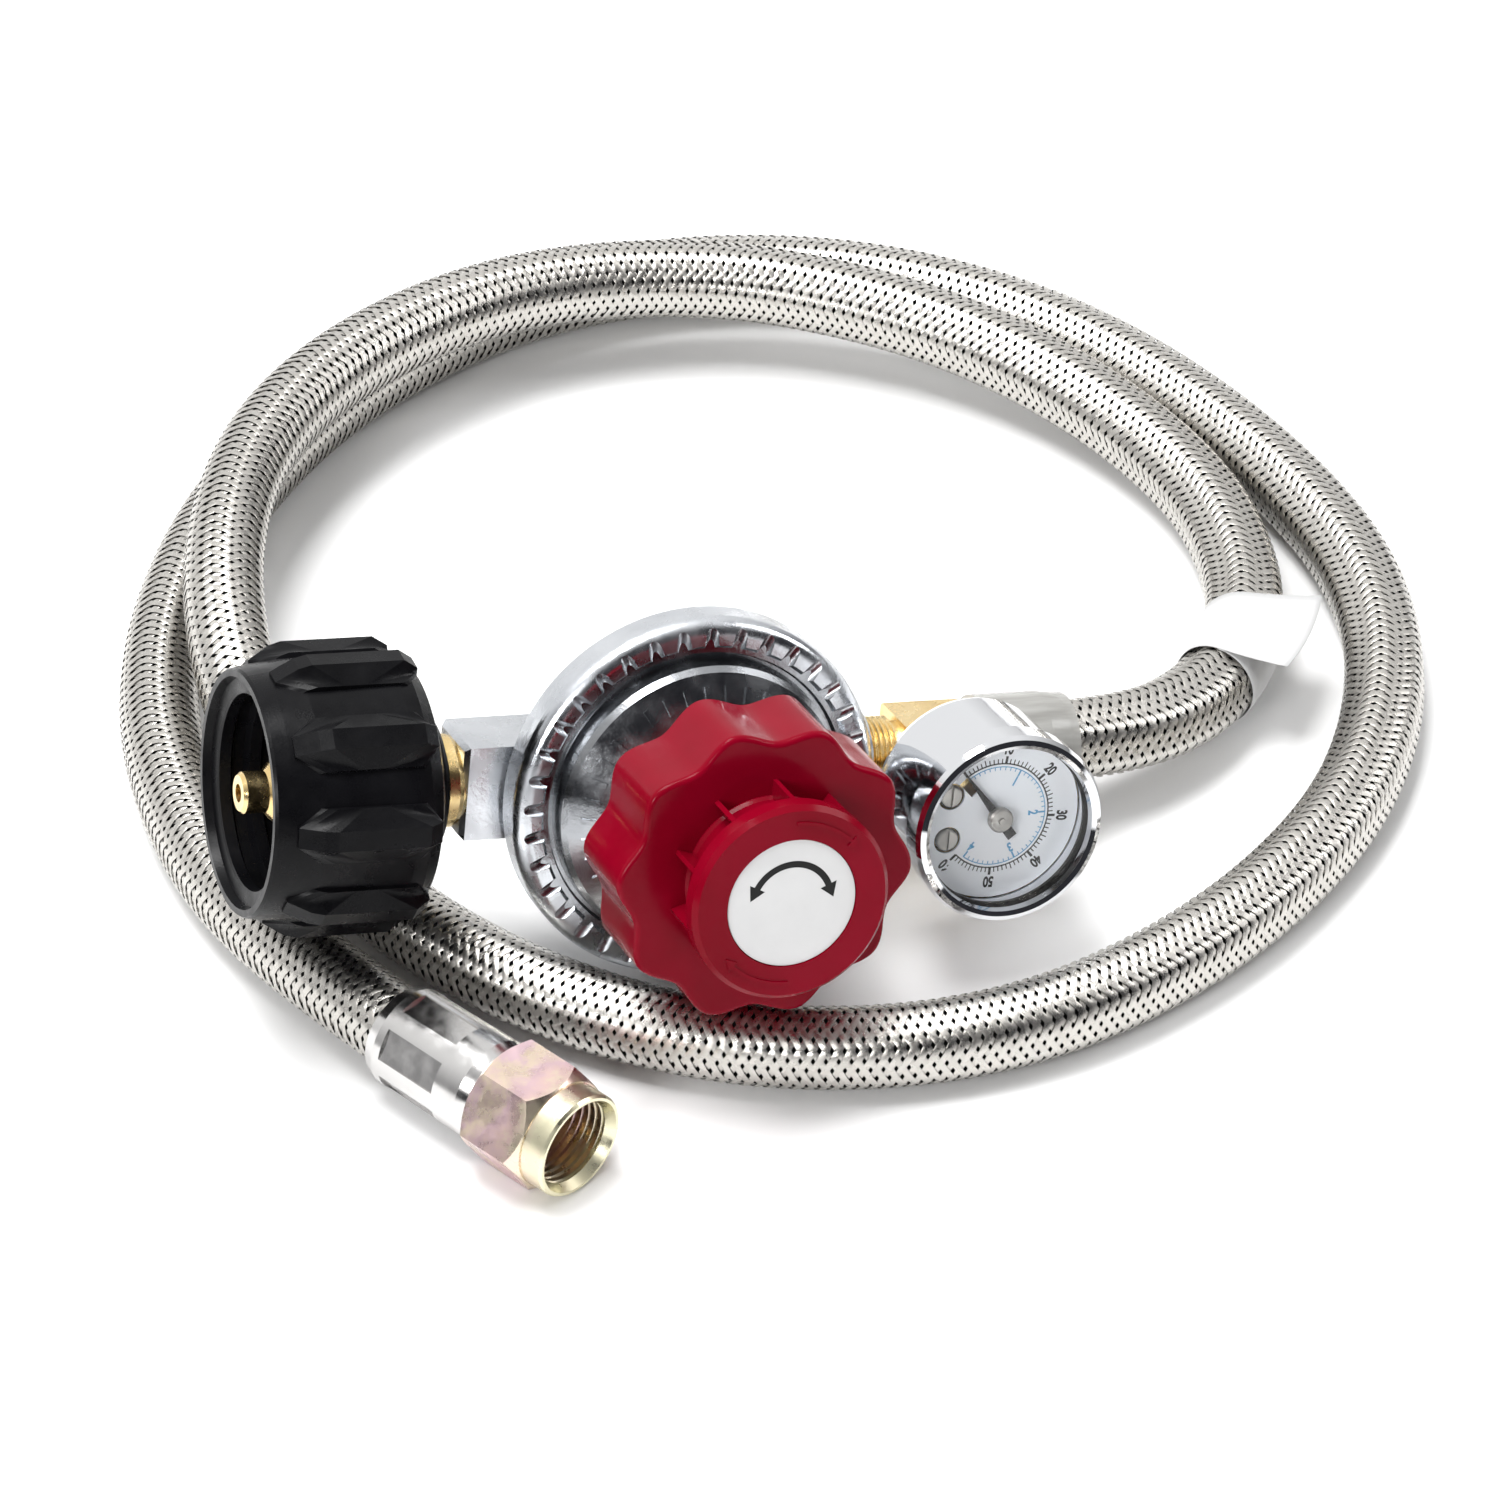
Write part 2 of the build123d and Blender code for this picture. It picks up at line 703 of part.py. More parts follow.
# ----------------------------------------------------------------------------------------------------------
# Tee on the outlet, with the gauge's port at its front
# ----------------------------------------------------------------------------------------------------------
with BuildPart() as tee_fitting:
    turn(
        flow_section,
        flow_axis,
        [(0, OUTLET_END - 9), (5.9, OUTLET_END - 9), (6.3, OUTLET_END - 8.4)]
        + ring_grooves(6.3, 0.45, 0.94, OUTLET_END - 8.0, 14)
        + [(5.4, TEE_X[0] - 1.0), (5.4, TEE_X[0] + 1), (0, TEE_X[0] + 1)],
    )
    with BuildSketch(flow_face(TEE_X[0])):
        Rectangle(TEE_W, TEE_W)
    extrude(amount=TEE_X[1] - TEE_X[0])
    tee_length = TEE_X[1] - TEE_X[0]
    straight = edges().filter_by(GeomType.LINE)
    chamfer(straight.filter_by(lambda edge: abs(edge.length - tee_length) < 0.01), 0.6)
    bore(flow_face(OUTLET_END - 9), 3.0, TEE_X[1] - OUTLET_END + 9)
    bore(flow_face(TEE_X[1] - STEM_THREAD_L), 4.4, STEM_THREAD_L)
    bore(gauge_face(-PORT_DROP), 2.0, PORT_DROP)
    bore(gauge_face(-PORT_DROP + TEE_W / 2 - GAUGE_THREAD_L), 4.0, GAUGE_THREAD_L)
finish(tee_fitting, "tee_fitting", BRASS)

# ----------------------------------------------------------------------------------------------------------
# Hose end at the regulator: barbed stem, crimped ferrule and clear sleeve
# ----------------------------------------------------------------------------------------------------------
STEM_END = TUBE_START + 11.5
with BuildPart() as hose_stem:
    barbs = []
    for i in range(3):
        base = TUBE_START + 1.0 + 3.2 * i
        barbs += [(3.4, base), (HOSE_BORE_R, base + 0.3), (HOSE_BORE_R, base + 0.9), (3.4, base + 2.8)]
    turn(
        flow_section,
        flow_axis,
        [
            (2.2, TEE_X[1] - STEM_THREAD_L),
            (4.4, TEE_X[1] - STEM_THREAD_L),
            (4.4, TEE_X[1]),
            (5.6, TEE_X[1]),
            (5.6, TUBE_START - 0.2),
            (3.4, TUBE_START - 0.2),
        ]
        + barbs
        + [(3.4, STEM_END - 0.8), (3.0, STEM_END), (2.2, STEM_END)],
    )
finish(hose_stem, "hose_stem", BRASS)

with BuildPart() as inlet_ferrule:
    turn(
        flow_section,
        flow_axis,
        [
            (5.6, TUBE_START - 1.8),
            (7.9, TUBE_START - 1.8),
            (8.2, TUBE_START - 1.4),
            (8.2, SLEEVE_END - 3.0),
            (7.9, SLEEVE_END - 2.6),
            (HOSE_R, SLEEVE_END - 2.6),
            (HOSE_R, TUBE_START - 0.2),
            (5.6, TUBE_START - 0.2),
        ],
    )
finish(inlet_ferrule, "inlet_ferrule", STEEL)

with BuildPart() as clear_sleeve:
    turn(
        flow_section,
        flow_axis,
        [
            (8.25, TEE_X[1] + 0.2),
            (8.9, TEE_X[1] + 0.2),
            (8.9, SLEEVE_END - 5.0),
            (8.5, SLEEVE_END - 1.6),
            (8.4, SLEEVE_END),
            (7.2, SLEEVE_END),
            (8.25, SLEEVE_END - 2.4),
        ],
    )
finish(clear_sleeve, "clear_sleeve", CLEAR)

# ----------------------------------------------------------------------------------------------------------
# Hose: straight runs joined by tangent arcs
# ----------------------------------------------------------------------------------------------------------
tube_start = port_centre + flow * TUBE_START
tube_end = FITTING_MOUTH - FITTING_HEADING * (FLARE_NUT_L + 3)
route = [tube_start, port_centre + flow * (TUBE_START + FIRST_RUN)]
route += [Vector(*point) for point in ROUTE]
route += [tube_end - FITTING_HEADING * LAST_RUN, tube_end]
corner_radii = []
for before, corner, after in zip(route, route[1:], route[2:]):
    bend = (corner - before).get_angle(after - corner)
    shorter = min((corner - before).length, (after - corner).length)
    corner_radii.append(0.45 * shorter / tan(radians(bend / 2)))
hose_path = FilletPolyline(*route, radius=corner_radii)
with BuildPart() as hose:
    with BuildSketch(Plane(origin=tube_start, z_dir=flow)) as hose_round:
        Circle(HOSE_R)
    sweep(hose_round.sketch, path=hose_path)
    # bored where the barbed stems go in
    bore(Plane(origin=tube_start, z_dir=flow), HOSE_BORE_R, STEM_END + 0.3 - TUBE_START)
    bore(Plane(origin=tube_end, z_dir=-FITTING_HEADING), HOSE_BORE_R, FERRULE_L - 4.5)
finish(hose, "hose", STEEL)
tube_length = hose_path.length
print("hose length", round(tube_length, 1))
print("volume ratio", round(hose.part.volume / (pi * HOSE_R**2 * tube_length), 4))
print("hose corner radii", [round(r) for r in corner_radii])

# label wrapped round the hose, with its two ends stuck together as a flag
label_arc = hose_path.edges()[5]
label_turn = degrees(label_arc.length / label_arc.radius)
arc_axis = Axis(label_arc.arc_center, (label_arc @ 0 - label_arc.arc_center).cross(label_arc % 0))
flag_out = (label_arc @ 0.5 - label_arc.arc_center).normalized()
flag_root = label_arc @ 0.5 + arc_axis.direction * (HOSE_R + 0.2)
with BuildPart() as hose_label:
    with BuildSketch(Plane(origin=label_arc @ 0, z_dir=label_arc % 0)) as wrap:
        Circle(HOSE_R + 0.4)
        Circle(HOSE_R + 0.04, mode=Mode.SUBTRACT)
    revolve(wrap.sketch, axis=arc_axis, revolution_arc=label_turn)
    with BuildSketch(Plane(origin=flag_root, x_dir=flag_out, z_dir=arc_axis.direction)) as flag:
        Rectangle(FLAG_L, FLAG_W, align=(Align.MIN, Align.CENTER))
    extrude(flag.sketch, amount=0.2)
finish(hose_label, "hose_label", WHITE)

# ----------------------------------------------------------------------------------------------------------
# Far end: swaged ferrule, flare stem and swivel nut
# ----------------------------------------------------------------------------------------------------------
with BuildPart() as outlet_ferrule:
    turn(
        fitting_section,
        fitting_axis,
        [
            (HOSE_R + 0.02, -FLARE_NUT_L - FERRULE_L),
            (7.9, -FLARE_NUT_L - FERRULE_L),
            (8.6, -FLARE_NUT_L - FERRULE_L + 2.0),
            (8.8, -FLARE_NUT_L - 6.5),
            (8.8, -FLARE_NUT_L - 2.6),
            (8.0, -FLARE_NUT_L - 0.3),
            (5.2, -FLARE_NUT_L - 0.3),
            (5.2, -FLARE_NUT_L - 3.0),
            (HOSE_R + 0.02, -FLARE_NUT_L - 3.0),
        ],
    )
    # swaged flats
    with Locations(fitting_face(FLARE_NUT_L + 13.5)):
        with PolarLocations(9.05, 6):
            Box(2.0, 5.4, 12, mode=Mode.SUBTRACT)
finish(outlet_ferrule, "outlet_ferrule", STEEL)

with BuildPart() as flare_stem:
    turn(
        fitting_section,
        fitting_axis,
        [
            (2.4, -FLARE_NUT_L - FERRULE_L + 2),
            (3.4, -FLARE_NUT_L - FERRULE_L + 2),
            (HOSE_BORE_R - 0.05, -FLARE_NUT_L - FERRULE_L + 5),
            (HOSE_BORE_R - 0.05, -FLARE_NUT_L - 3.0),
            (5.15, -FLARE_NUT_L - 3.0),
            (5.15, -13.0),
            (6.6, -13.0),
            (6.6, -12.2),
            (3.4, -9.0),
            (2.4, -9.0),
        ],
    )
finish(flare_stem, "flare_stem", BRASS)

nut_thread = []
for i in range(5):
    base = -8.0 + FLARE_PITCH * i
    nut_thread += [(FLARE_THREAD_R, base), (FLARE_THREAD_R + 0.45, base + 0.3), (FLARE_THREAD_R, base + 0.6)]
with BuildPart() as flare_nut:
    with BuildSketch(fitting_face(FLARE_NUT_L)):
        RegularPolygon(FLARE_AF / 2, 6, major_radius=False, rotation=30)
    extrude(amount=12.5)
    with BuildSketch(fitting_section):
        with BuildLine():
            Polyline(
                (0, -FLARE_NUT_L),
                (9.4, -FLARE_NUT_L),
                (11.2, -FLARE_NUT_L + 1.4),
                (11.2, -6.6),
                (9.3, -4.5),
                (0, -4.5),
                close=True,
            )
        make_face()
    revolve(axis=fitting_axis, mode=Mode.INTERSECT)
    turn(fitting_section, fitting_axis, [(7, -5.5), (9.05, -5.5), (9.05, -0.5), (8.7, 0), (7, 0)])
    turn(
        fitting_section,
        fitting_axis,
        [
            (0, -FLARE_NUT_L),
            (5.15 + RUN, -FLARE_NUT_L),
            (5.15 + RUN, -13.4),
            (FLARE_RELIEF_R, -13.0),
            (FLARE_RELIEF_R, -8.6),
            (FLARE_THREAD_R, -8.2),
        ]
        + nut_thread
        + [(FLARE_THREAD_R, -1.6), (8.2, 0), (0, 0)],
        mode=Mode.SUBTRACT,
    )
finish(flare_nut, "flare_nut", YELLOW_ZINC)

# ----------------------------------------------------------------------------------------------------------
# Gauge: socket, case, bezel, window
# ----------------------------------------------------------------------------------------------------------
SOCKET_REAR = -PORT_DROP + TEE_W / 2 - GAUGE_THREAD_L
with BuildPart() as gauge_socket:
    turn(
        gauge_section,
        gauge_axis,
        [
            (0, SOCKET_REAR),
            (4.0, SOCKET_REAR),
            (4.0, SOCKET_REAR + GAUGE_THREAD_L),
            (5.6, SOCKET_REAR + GAUGE_THREAD_L),
            (5.6, CASE_REAR),
            (4.0, CASE_REAR),
            (4.0, 4.6),
            (0, 4.6),
        ],
    )
    with BuildSketch(gauge_face(4.5)):
        Rectangle(8, 8)
        with Locations((0, -8)):
            Rectangle(6, 9)
    extrude(amount=4.3)
    bore(gauge_face(SOCKET_REAR), 1.0, 10)
finish(gauge_socket, "gauge_socket", BRASS)

with BuildPart() as gauge_case:
    turn(
        gauge_section,
        gauge_axis,
        [
            (4.02, CASE_REAR),
            (13.4, CASE_REAR),
            (14.8, CASE_REAR + 0.6),
            (CASE_R, CASE_REAR + 1.8),
            (CASE_R, CASE_FRONT),
            (14.5, CASE_FRONT),
            (14.5, CASE_REAR + 1.0),
            (4.02, CASE_REAR + 1.0),
        ],
    )
finish(gauge_case, "gauge_case", CHROME)

with BuildPart() as gauge_bezel:
    turn(
        gauge_section,
        gauge_axis,
        [
            (CASE_R, 19.4),
            (BEZEL_R - 0.4, 19.4),
            (BEZEL_R, 20.0),
            (BEZEL_R, BEZEL_FRONT - 1.4),
            (BEZEL_R - 0.5, BEZEL_FRONT - 0.4),
            (BEZEL_R - 1.3, BEZEL_FRONT),
            (BEZEL_R - 2.0, BEZEL_FRONT - 0.4),
            (BEZEL_R - 2.3, BEZEL_FRONT - 1.4),
            (CASE_R, BEZEL_FRONT - 1.4),
        ],
    )
finish(gauge_bezel, "gauge_bezel", CHROME)

with BuildPart() as window_gasket:
    turn(
        gauge_section,
        gauge_axis,
        [(13.7, CASE_FRONT), (14.9, CASE_FRONT), (14.9, CASE_FRONT + 0.6), (13.7, CASE_FRONT + 0.6)],
    )
finish(window_gasket, "window_gasket", RUBBER)

with BuildPart() as gauge_window:
    turn(
        gauge_section,
        gauge_axis,
        [(0, CASE_FRONT + 0.6), (15.0, CASE_FRONT + 0.6), (15.0, BEZEL_FRONT - 1.4), (0, BEZEL_FRONT - 1.4)],
    )
finish(gauge_window, "gauge_window", CLEAR)

# dial and its two screws
DIAL_SCREWS = [(-8.2, 3.8), (-8.2, -3.8)]
with BuildPart() as gauge_dial:
    with BuildSketch(gauge_face(DIAL_TOP - 0.4)):
        Circle(14.3)
        Circle(1.4, mode=Mode.SUBTRACT)
        with Locations(*DIAL_SCREWS):
            Circle(2.3, mode=Mode.SUBTRACT)
        with Locations((-5.2, 5.2)):
            Rectangle(3.4, 1.6, rotation=-45, mode=Mode.SUBTRACT)
    extrude(amount=0.4)
finish(gauge_dial, "gauge_dial", WHITE)

with BuildPart() as dial_screws:
    for u, w in DIAL_SCREWS:
        screw_centre = gauge_centre + flow * u + up * w
        head = Plane(origin=screw_centre + front * 16.0, x_dir=flow, z_dir=front)
        with BuildSketch(head):
            Circle(0.9)
        extrude(amount=2.2)
        with BuildSketch(head.offset(2.0)):
            Circle(1.9)
        extrude(amount=0.9)
        fillet(edges().filter_by(GeomType.CIRCLE).group_by(gauge_axis)[-1], 0.4)
        with BuildSketch(head.offset(2.5)):
            Rectangle(0.45, 4)
        extrude(amount=1, mode=Mode.SUBTRACT)
finish(dial_screws, "dial_screws", STEEL)

# ----------------------------------------------------------------------------------------------------------
# Gauge movement: bourdon tube and link, plates and pillars, sector gear, pinion, hairspring and pointer
# ----------------------------------------------------------------------------------------------------------
TUBE_COIL_R = 12.4
TUBE_TIP_ANGLE = -370.0
with BuildPart() as bourdon_tube:
    with BuildLine(gauge_face(6.7)) as tube_path:
        CenterArc((0, 0), TUBE_COIL_R, -105, TUBE_TIP_ANGLE + 105)
    with BuildSketch(Plane(origin=tube_path.line @ 0, x_dir=front, z_dir=tube_path.line % 0)):
        SlotOverall(3.6, 1.5)
    sweep(path=tube_path.line)
finish(bourdon_tube, "bourdon_tube", BRASS)

HAIRSPRING_IN = 1.3
HAIRSPRING_STEP = 0.35
HAIRSPRING_OUT = HAIRSPRING_IN + 6 * HAIRSPRING_STEP + 0.38
PILLARS = [(-7.0, -3.6), (7.4, 3.4)]
SECTOR_DISTANCE = MODULE * (PINION_TEETH + SECTOR_TEETH) / 2
TAIL_R = 3.4  # the link's pin, from the sector's pivot
SECTOR_ANGLE = -50.0  # where the sector's pivot lies, about the gauge axis
pivot_u, pivot_w = polar(SECTOR_DISTANCE, SECTOR_ANGLE)


def movement_plate(height, thick):
    """A round-ended plate with holes for the arbor and the sector's pivot."""
    with BuildSketch(gauge_face(height)) as plate:
        Circle(9.6)
        Circle(0.65, mode=Mode.SUBTRACT)
        with Locations((pivot_u, pivot_w)):
            Circle(0.75, mode=Mode.SUBTRACT)
        if height > 12:
            with Locations(*DIAL_SCREWS):
                Circle(0.92, mode=Mode.SUBTRACT)
    extrude(plate.sketch, amount=thick)


with BuildPart() as movement_back_plate:
    movement_plate(8.8, 1.0)
finish(movement_back_plate, "movement_back_plate", BRASS)

with BuildPart() as movement_front_plate:
    movement_plate(15.0, 1.4)
    # stud that holds the hairspring's outer end
    with BuildSketch(gauge_face(14.0)):
        with Locations((HAIRSPRING_OUT, 0)):
            Circle(0.3)
    extrude(amount=1.0)
finish(movement_front_plate, "movement_front_plate", BRASS)

with BuildPart() as movement_pillars:
    with BuildSketch(gauge_face(9.8)):
        with Locations(*PILLARS):
            Circle(1.1)
    extrude(amount=5.2)
finish(movement_pillars, "movement_pillars", BRASS)


def tooth_points(radius, root, tip, half_root, half_tip, at):
    """Corners of one straight-sided tooth whose middle stands at the angle `at`, in degrees."""
    corners = []
    for reach, half in ((root, -half_root), (tip, -half_tip), (tip, half_tip), (root, half_root)):
        angle = radians(at) + half / radius
        corners.append((reach * cos(angle), reach * sin(angle)))
    return corners


tail_u = pivot_u + TAIL_R * cos(radians(SECTOR_ANGLE))
tail_w = pivot_w + TAIL_R * sin(radians(SECTOR_ANGLE))
sector_pitch_r = MODULE * SECTOR_TEETH / 2
pinion_pitch_r = MODULE * PINION_TEETH / 2
sector_step = 360 / SECTOR_TEETH
pinion_step = 360 / PINION_TEETH
to_arbor = SECTOR_ANGLE + 180

with BuildPart() as sector_gear:
    sector_pivot = gauge_centre + flow * pivot_u + up * pivot_w
    sector_plane = Plane(origin=sector_pivot + front * 11.8, x_dir=flow, z_dir=front)
    with BuildSketch(sector_plane):
        with BuildLine():
            outline = []
            for i in range(-7, 2):
                outline += tooth_points(sector_pitch_r, 6.75, 7.4, 0.21, 0.09, to_arbor + i * sector_step)
            outline += [
                polar(1.9, to_arbor + 70),
                polar(4.6, to_arbor + 165),
                polar(4.6, to_arbor + 195),
                polar(1.9, to_arbor - 110),
            ]
            Polyline(*outline, close=True)
        make_face()
    extrude(amount=1.2)
    bore(sector_plane.offset(-3.0), 0.7, 7.6, mode=Mode.ADD)
    # pin that the link pulls
    with BuildSketch(gauge_face(10.2)):
        with Locations((tail_u, tail_w)):
            Circle(0.4)
    extrude(amount=1.7)
finish(sector_gear, "sector_gear", BRASS)

with BuildPart() as pointer_arbor:
    bore(gauge_face(8.8), 0.6, 11.4, mode=Mode.ADD)
    with BuildSketch(gauge_face(11.4)):
        with BuildLine():
            outline = []
            for i in range(PINION_TEETH):
                angle = SECTOR_ANGLE + (i + 0.5) * pinion_step
                outline += tooth_points(pinion_pitch_r, 0.85, 1.42, 0.24, 0.10, angle)
            Polyline(*outline, close=True)
        make_face()
    extrude(amount=2.0)
    # collet that holds the hairspring's inner end
    bore(gauge_face(13.9), HAIRSPRING_IN - 0.09, 0.7, mode=Mode.ADD)
finish(pointer_arbor, "pointer_arbor", BRASS)

with BuildPart() as hairspring:
    with BuildSketch(gauge_face(14.0)):
        with BuildLine() as spiral:
            inner = HAIRSPRING_IN
            for i in range(6):
                side = 1 if i % 2 == 0 else -1
                outer = HAIRSPRING_IN + HAIRSPRING_STEP * (i + 1)
                halfway = (side * (inner - outer) / 2, side * (inner + outer) / 2)
                ThreePointArc((side * inner, 0), halfway, (-side * outer, 0))
                inner = outer
        trace(line_width=0.16)
    extrude(amount=0.5)
finish(hairspring, "hairspring", STEEL)


def at_angle(reach, offset, angle):
    """A point at this reach along a direction and this far to its left."""
    a = radians(angle)
    return (reach * cos(a) - offset * sin(a), reach * sin(a) + offset * cos(a))


with BuildPart() as pointer:
    with BuildSketch(gauge_face(19.5)):
        with BuildLine():
            Polyline(
                at_angle(10.4, 0.08, ZERO_ANGLE),
                at_angle(0, 0.75, ZERO_ANGLE),
                at_angle(-2.0, 0.5, ZERO_ANGLE),
                at_angle(-2.4, 0.85, ZERO_ANGLE),
                at_angle(-4.4, 0.85, ZERO_ANGLE),
                at_angle(-4.4, -0.85, ZERO_ANGLE),
                at_angle(-2.4, -0.85, ZERO_ANGLE),
                at_angle(-2.0, -0.5, ZERO_ANGLE),
                at_angle(0, -0.75, ZERO_ANGLE),
                at_angle(10.4, -0.08, ZERO_ANGLE),
                close=True,
            )
        make_face()
        Circle(0.6, mode=Mode.SUBTRACT)
    extrude(amount=0.35)
finish(pointer, "pointer", BLACK)

with BuildPart() as pointer_cap:
    turn(
        gauge_section,
        gauge_axis,
        [
            (0, 20.2),
            (0.6, 20.2),
            (0.6, 19.86),
            (2.0, 19.86),
            (2.1, 20.1),
            (2.1, 20.9),
            (1.8, 21.2),
            (0.6, 21.2),
            (0.5, 21.5),
            (0, 21.5),
        ],
    )
finish(pointer_cap, "pointer_cap", STEEL)

tip_u, tip_w = polar(TUBE_COIL_R, TUBE_TIP_ANGLE + 3)
with BuildPart() as bourdon_link:
    with BuildSketch(gauge_face(10.4)):
        with BuildLine():
            Line((tip_u, tip_w), (tail_u, tail_w))
        trace(line_width=1.3)
        with Locations((tip_u, tip_w)):
            Circle(0.65)
        with Locations((tail_u, tail_w)):
            Circle(0.9)
            Circle(0.45, mode=Mode.SUBTRACT)
    extrude(amount=0.5)
    with BuildSketch(gauge_face(8.5)):
        with Locations((tip_u, tip_w)):
            Circle(0.5)
    extrude(amount=2.0)
finish(bourdon_link, "bourdon_link", BRASS)

print("port", port_centre, "gauge", gauge_centre)
print("axes", flow, front, up)
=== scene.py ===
"""Looks of the propane regulator hose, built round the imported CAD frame. Metres, +Z up."""

import json
import math

import bmesh
import bpy
import numpy as np
from mathutils import Matrix, Vector


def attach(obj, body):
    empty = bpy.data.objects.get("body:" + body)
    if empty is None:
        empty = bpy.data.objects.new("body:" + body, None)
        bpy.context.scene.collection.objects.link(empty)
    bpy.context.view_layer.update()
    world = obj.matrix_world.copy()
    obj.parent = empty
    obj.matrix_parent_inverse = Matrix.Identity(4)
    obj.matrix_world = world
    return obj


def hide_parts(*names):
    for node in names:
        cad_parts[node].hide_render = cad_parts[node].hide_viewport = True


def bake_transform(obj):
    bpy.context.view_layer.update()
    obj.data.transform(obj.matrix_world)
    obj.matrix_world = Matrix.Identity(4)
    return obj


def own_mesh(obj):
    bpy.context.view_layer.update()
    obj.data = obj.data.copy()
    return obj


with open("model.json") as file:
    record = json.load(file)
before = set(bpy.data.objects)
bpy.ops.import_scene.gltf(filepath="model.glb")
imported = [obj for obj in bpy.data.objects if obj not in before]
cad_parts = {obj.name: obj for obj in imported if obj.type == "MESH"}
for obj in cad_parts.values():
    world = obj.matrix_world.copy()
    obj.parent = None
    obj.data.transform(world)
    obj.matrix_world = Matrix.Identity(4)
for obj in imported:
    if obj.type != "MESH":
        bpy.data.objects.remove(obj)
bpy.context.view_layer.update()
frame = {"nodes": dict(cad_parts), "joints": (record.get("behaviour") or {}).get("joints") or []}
nodes = frame["nodes"]
joints = {joint["name"]: joint for joint in frame["joints"]}
MM = 0.001

# axes of the regulator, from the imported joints
FLOW = Vector(joints["nut_spin"]["axis"]).normalized()
PORT = Vector(joints["nut_spin"]["pos_m"])
FRONT = -Vector(joints["knob_turn"]["axis"]).normalized()
KNOB = Vector(joints["knob_turn"]["pos_m"])
GAUGE = Vector(joints["pointer_turn"]["pos_m"])
UP = FRONT.cross(FLOW).normalized()
END_AXIS = Vector(joints["end_nut_spin"]["axis"]).normalized()
END_MOUTH = Vector(joints["end_nut_spin"]["pos_m"])

# ------------------------------------------------------------------------------------------------------------
# Camera
# ------------------------------------------------------------------------------------------------------------
CAMERA_AT = Vector((-0.2852, -0.8852, 0.8266))
CAMERA_TARGET = Vector((0.0274, 0.0490, 0.0))
SENSOR_MM = 36.0
LENS_MM = 182.4
camera_data = bpy.data.cameras.new("camera")
camera_data.sensor_width = SENSOR_MM
camera_data.lens = LENS_MM
camera = bpy.data.objects.new("camera", camera_data)
bpy.context.scene.collection.objects.link(camera)
camera.location = CAMERA_AT
camera.rotation_euler = (CAMERA_TARGET - CAMERA_AT).to_track_quat("-Z", "Y").to_euler()
camera_data.clip_start = 0.05
camera_data.clip_end = 20.0
bpy.context.scene.camera = camera
bpy.context.scene.view_settings.view_transform = "Standard"


# ------------------------------------------------------------------------------------------------------------
# Materials
# ------------------------------------------------------------------------------------------------------------
class Paint:
    """One node material: a Principled shader, and short calls that add nodes to it."""

    def __init__(self, name, base, rough, metal=0.0, **sockets):
        self.mat = bpy.data.materials.new(name)
        self.mat.use_nodes = True
        self.tree = self.mat.node_tree
        self.shader = self.tree.nodes["Principled BSDF"]
        self.set("Base Color", (*base, 1.0))
        self.set("Roughness", rough)
        self.set("Metallic", metal)
        for socket, value in sockets.items():
            self.set(socket.replace("_", " "), value)

    def set(self, socket, value):
        self.shader.inputs[socket].default_value = value

    def node(self, kind, links=None, **values):
        made = self.tree.nodes.new(kind)
        for key, value in values.items():
            if hasattr(made, key):
                setattr(made, key, value)
            else:
                made.inputs[key.replace("_", " ")].default_value = value
        for key, source in (links or {}).items():
            self.tree.links.new(source, made.inputs[key])
        return made

    def place(self):
        """Position in the row frame, in metres."""
        return self.node("ShaderNodeTexCoord").outputs["Object"]

    def math(self, operation, a, b=0.0):
        made = self.node("ShaderNodeMath", operation=operation)
        for index, value in enumerate((a, b)):
            if isinstance(value, (int, float)):
                made.inputs[index].default_value = value
            else:
                self.tree.links.new(value, made.inputs[index])
        return made.outputs[0]

    def noise(self, scale, detail=3.0, rough=0.55, stretch=None):
        where = self.place()
        if stretch:
            where = self.node("ShaderNodeMapping", {"Vector": where}, Scale=stretch).outputs[0]
        return self.node(
            "ShaderNodeTexNoise", {"Vector": where}, Scale=scale, Detail=detail, Roughness=rough
        ).outputs["Fac"]

    def ramp(self, source, stops):
        made = self.node("ShaderNodeValToRGB", {"Fac": source})
        band = made.color_ramp.elements
        band[0].position = stops[0][0]
        band[1].position = stops[-1][0]
        for where, _ in stops[1:-1]:
            band.new(where)
        for element, (_, colour) in zip(band, stops):
            element.color = (*colour, 1.0)
        return made.outputs["Color"]

    def span(self, source, low, high, start=0.3, end=0.7):
        """Carry start..end of a value to low..high."""
        return self.node(
            "ShaderNodeMapRange",
            {"Value": source},
            From_Min=start,
            From_Max=end,
            To_Min=low,
            To_Max=high,
        ).outputs[0]

    def colour(self, source):
        self.tree.links.new(source, self.shader.inputs["Base Color"])
        return self

    def rough(self, source):
        self.tree.links.new(source, self.shader.inputs["Roughness"])
        return self

    def bump(self, source, distance, strength=1.0):
        """Adds a bump of this real height, on top of any that is there."""
        made = self.node("ShaderNodeBump", {"Height": source}, Strength=strength, Distance=distance)
        held = self.shader.inputs["Normal"]
        if held.is_linked:
            self.tree.links.new(held.links[0].from_socket, made.inputs["Normal"])
        self.tree.links.new(made.outputs[0], held)
        return self

    def along(self, origin, axis):
        """Distance along an axis, in metres."""
        offset = self.node("ShaderNodeVectorMath", {0: self.place()}, operation="SUBTRACT")
        offset.inputs[1].default_value = origin
        made = self.node("ShaderNodeVectorMath", {0: offset.outputs[0]}, operation="DOT_PRODUCT")
        made.inputs[1].default_value = axis
        return made.outputs["Value"]

    def rings(self, origin, axis, spacing):
        """A wave along an axis: turning marks left by a lathe."""
        jitter = self.math("MULTIPLY", self.noise(900, 2), spacing * 1.5)
        total = self.math("ADD", self.along(origin, axis), jitter)
        return self.math("SINE", self.math("MULTIPLY", total, 2 * math.pi / spacing))


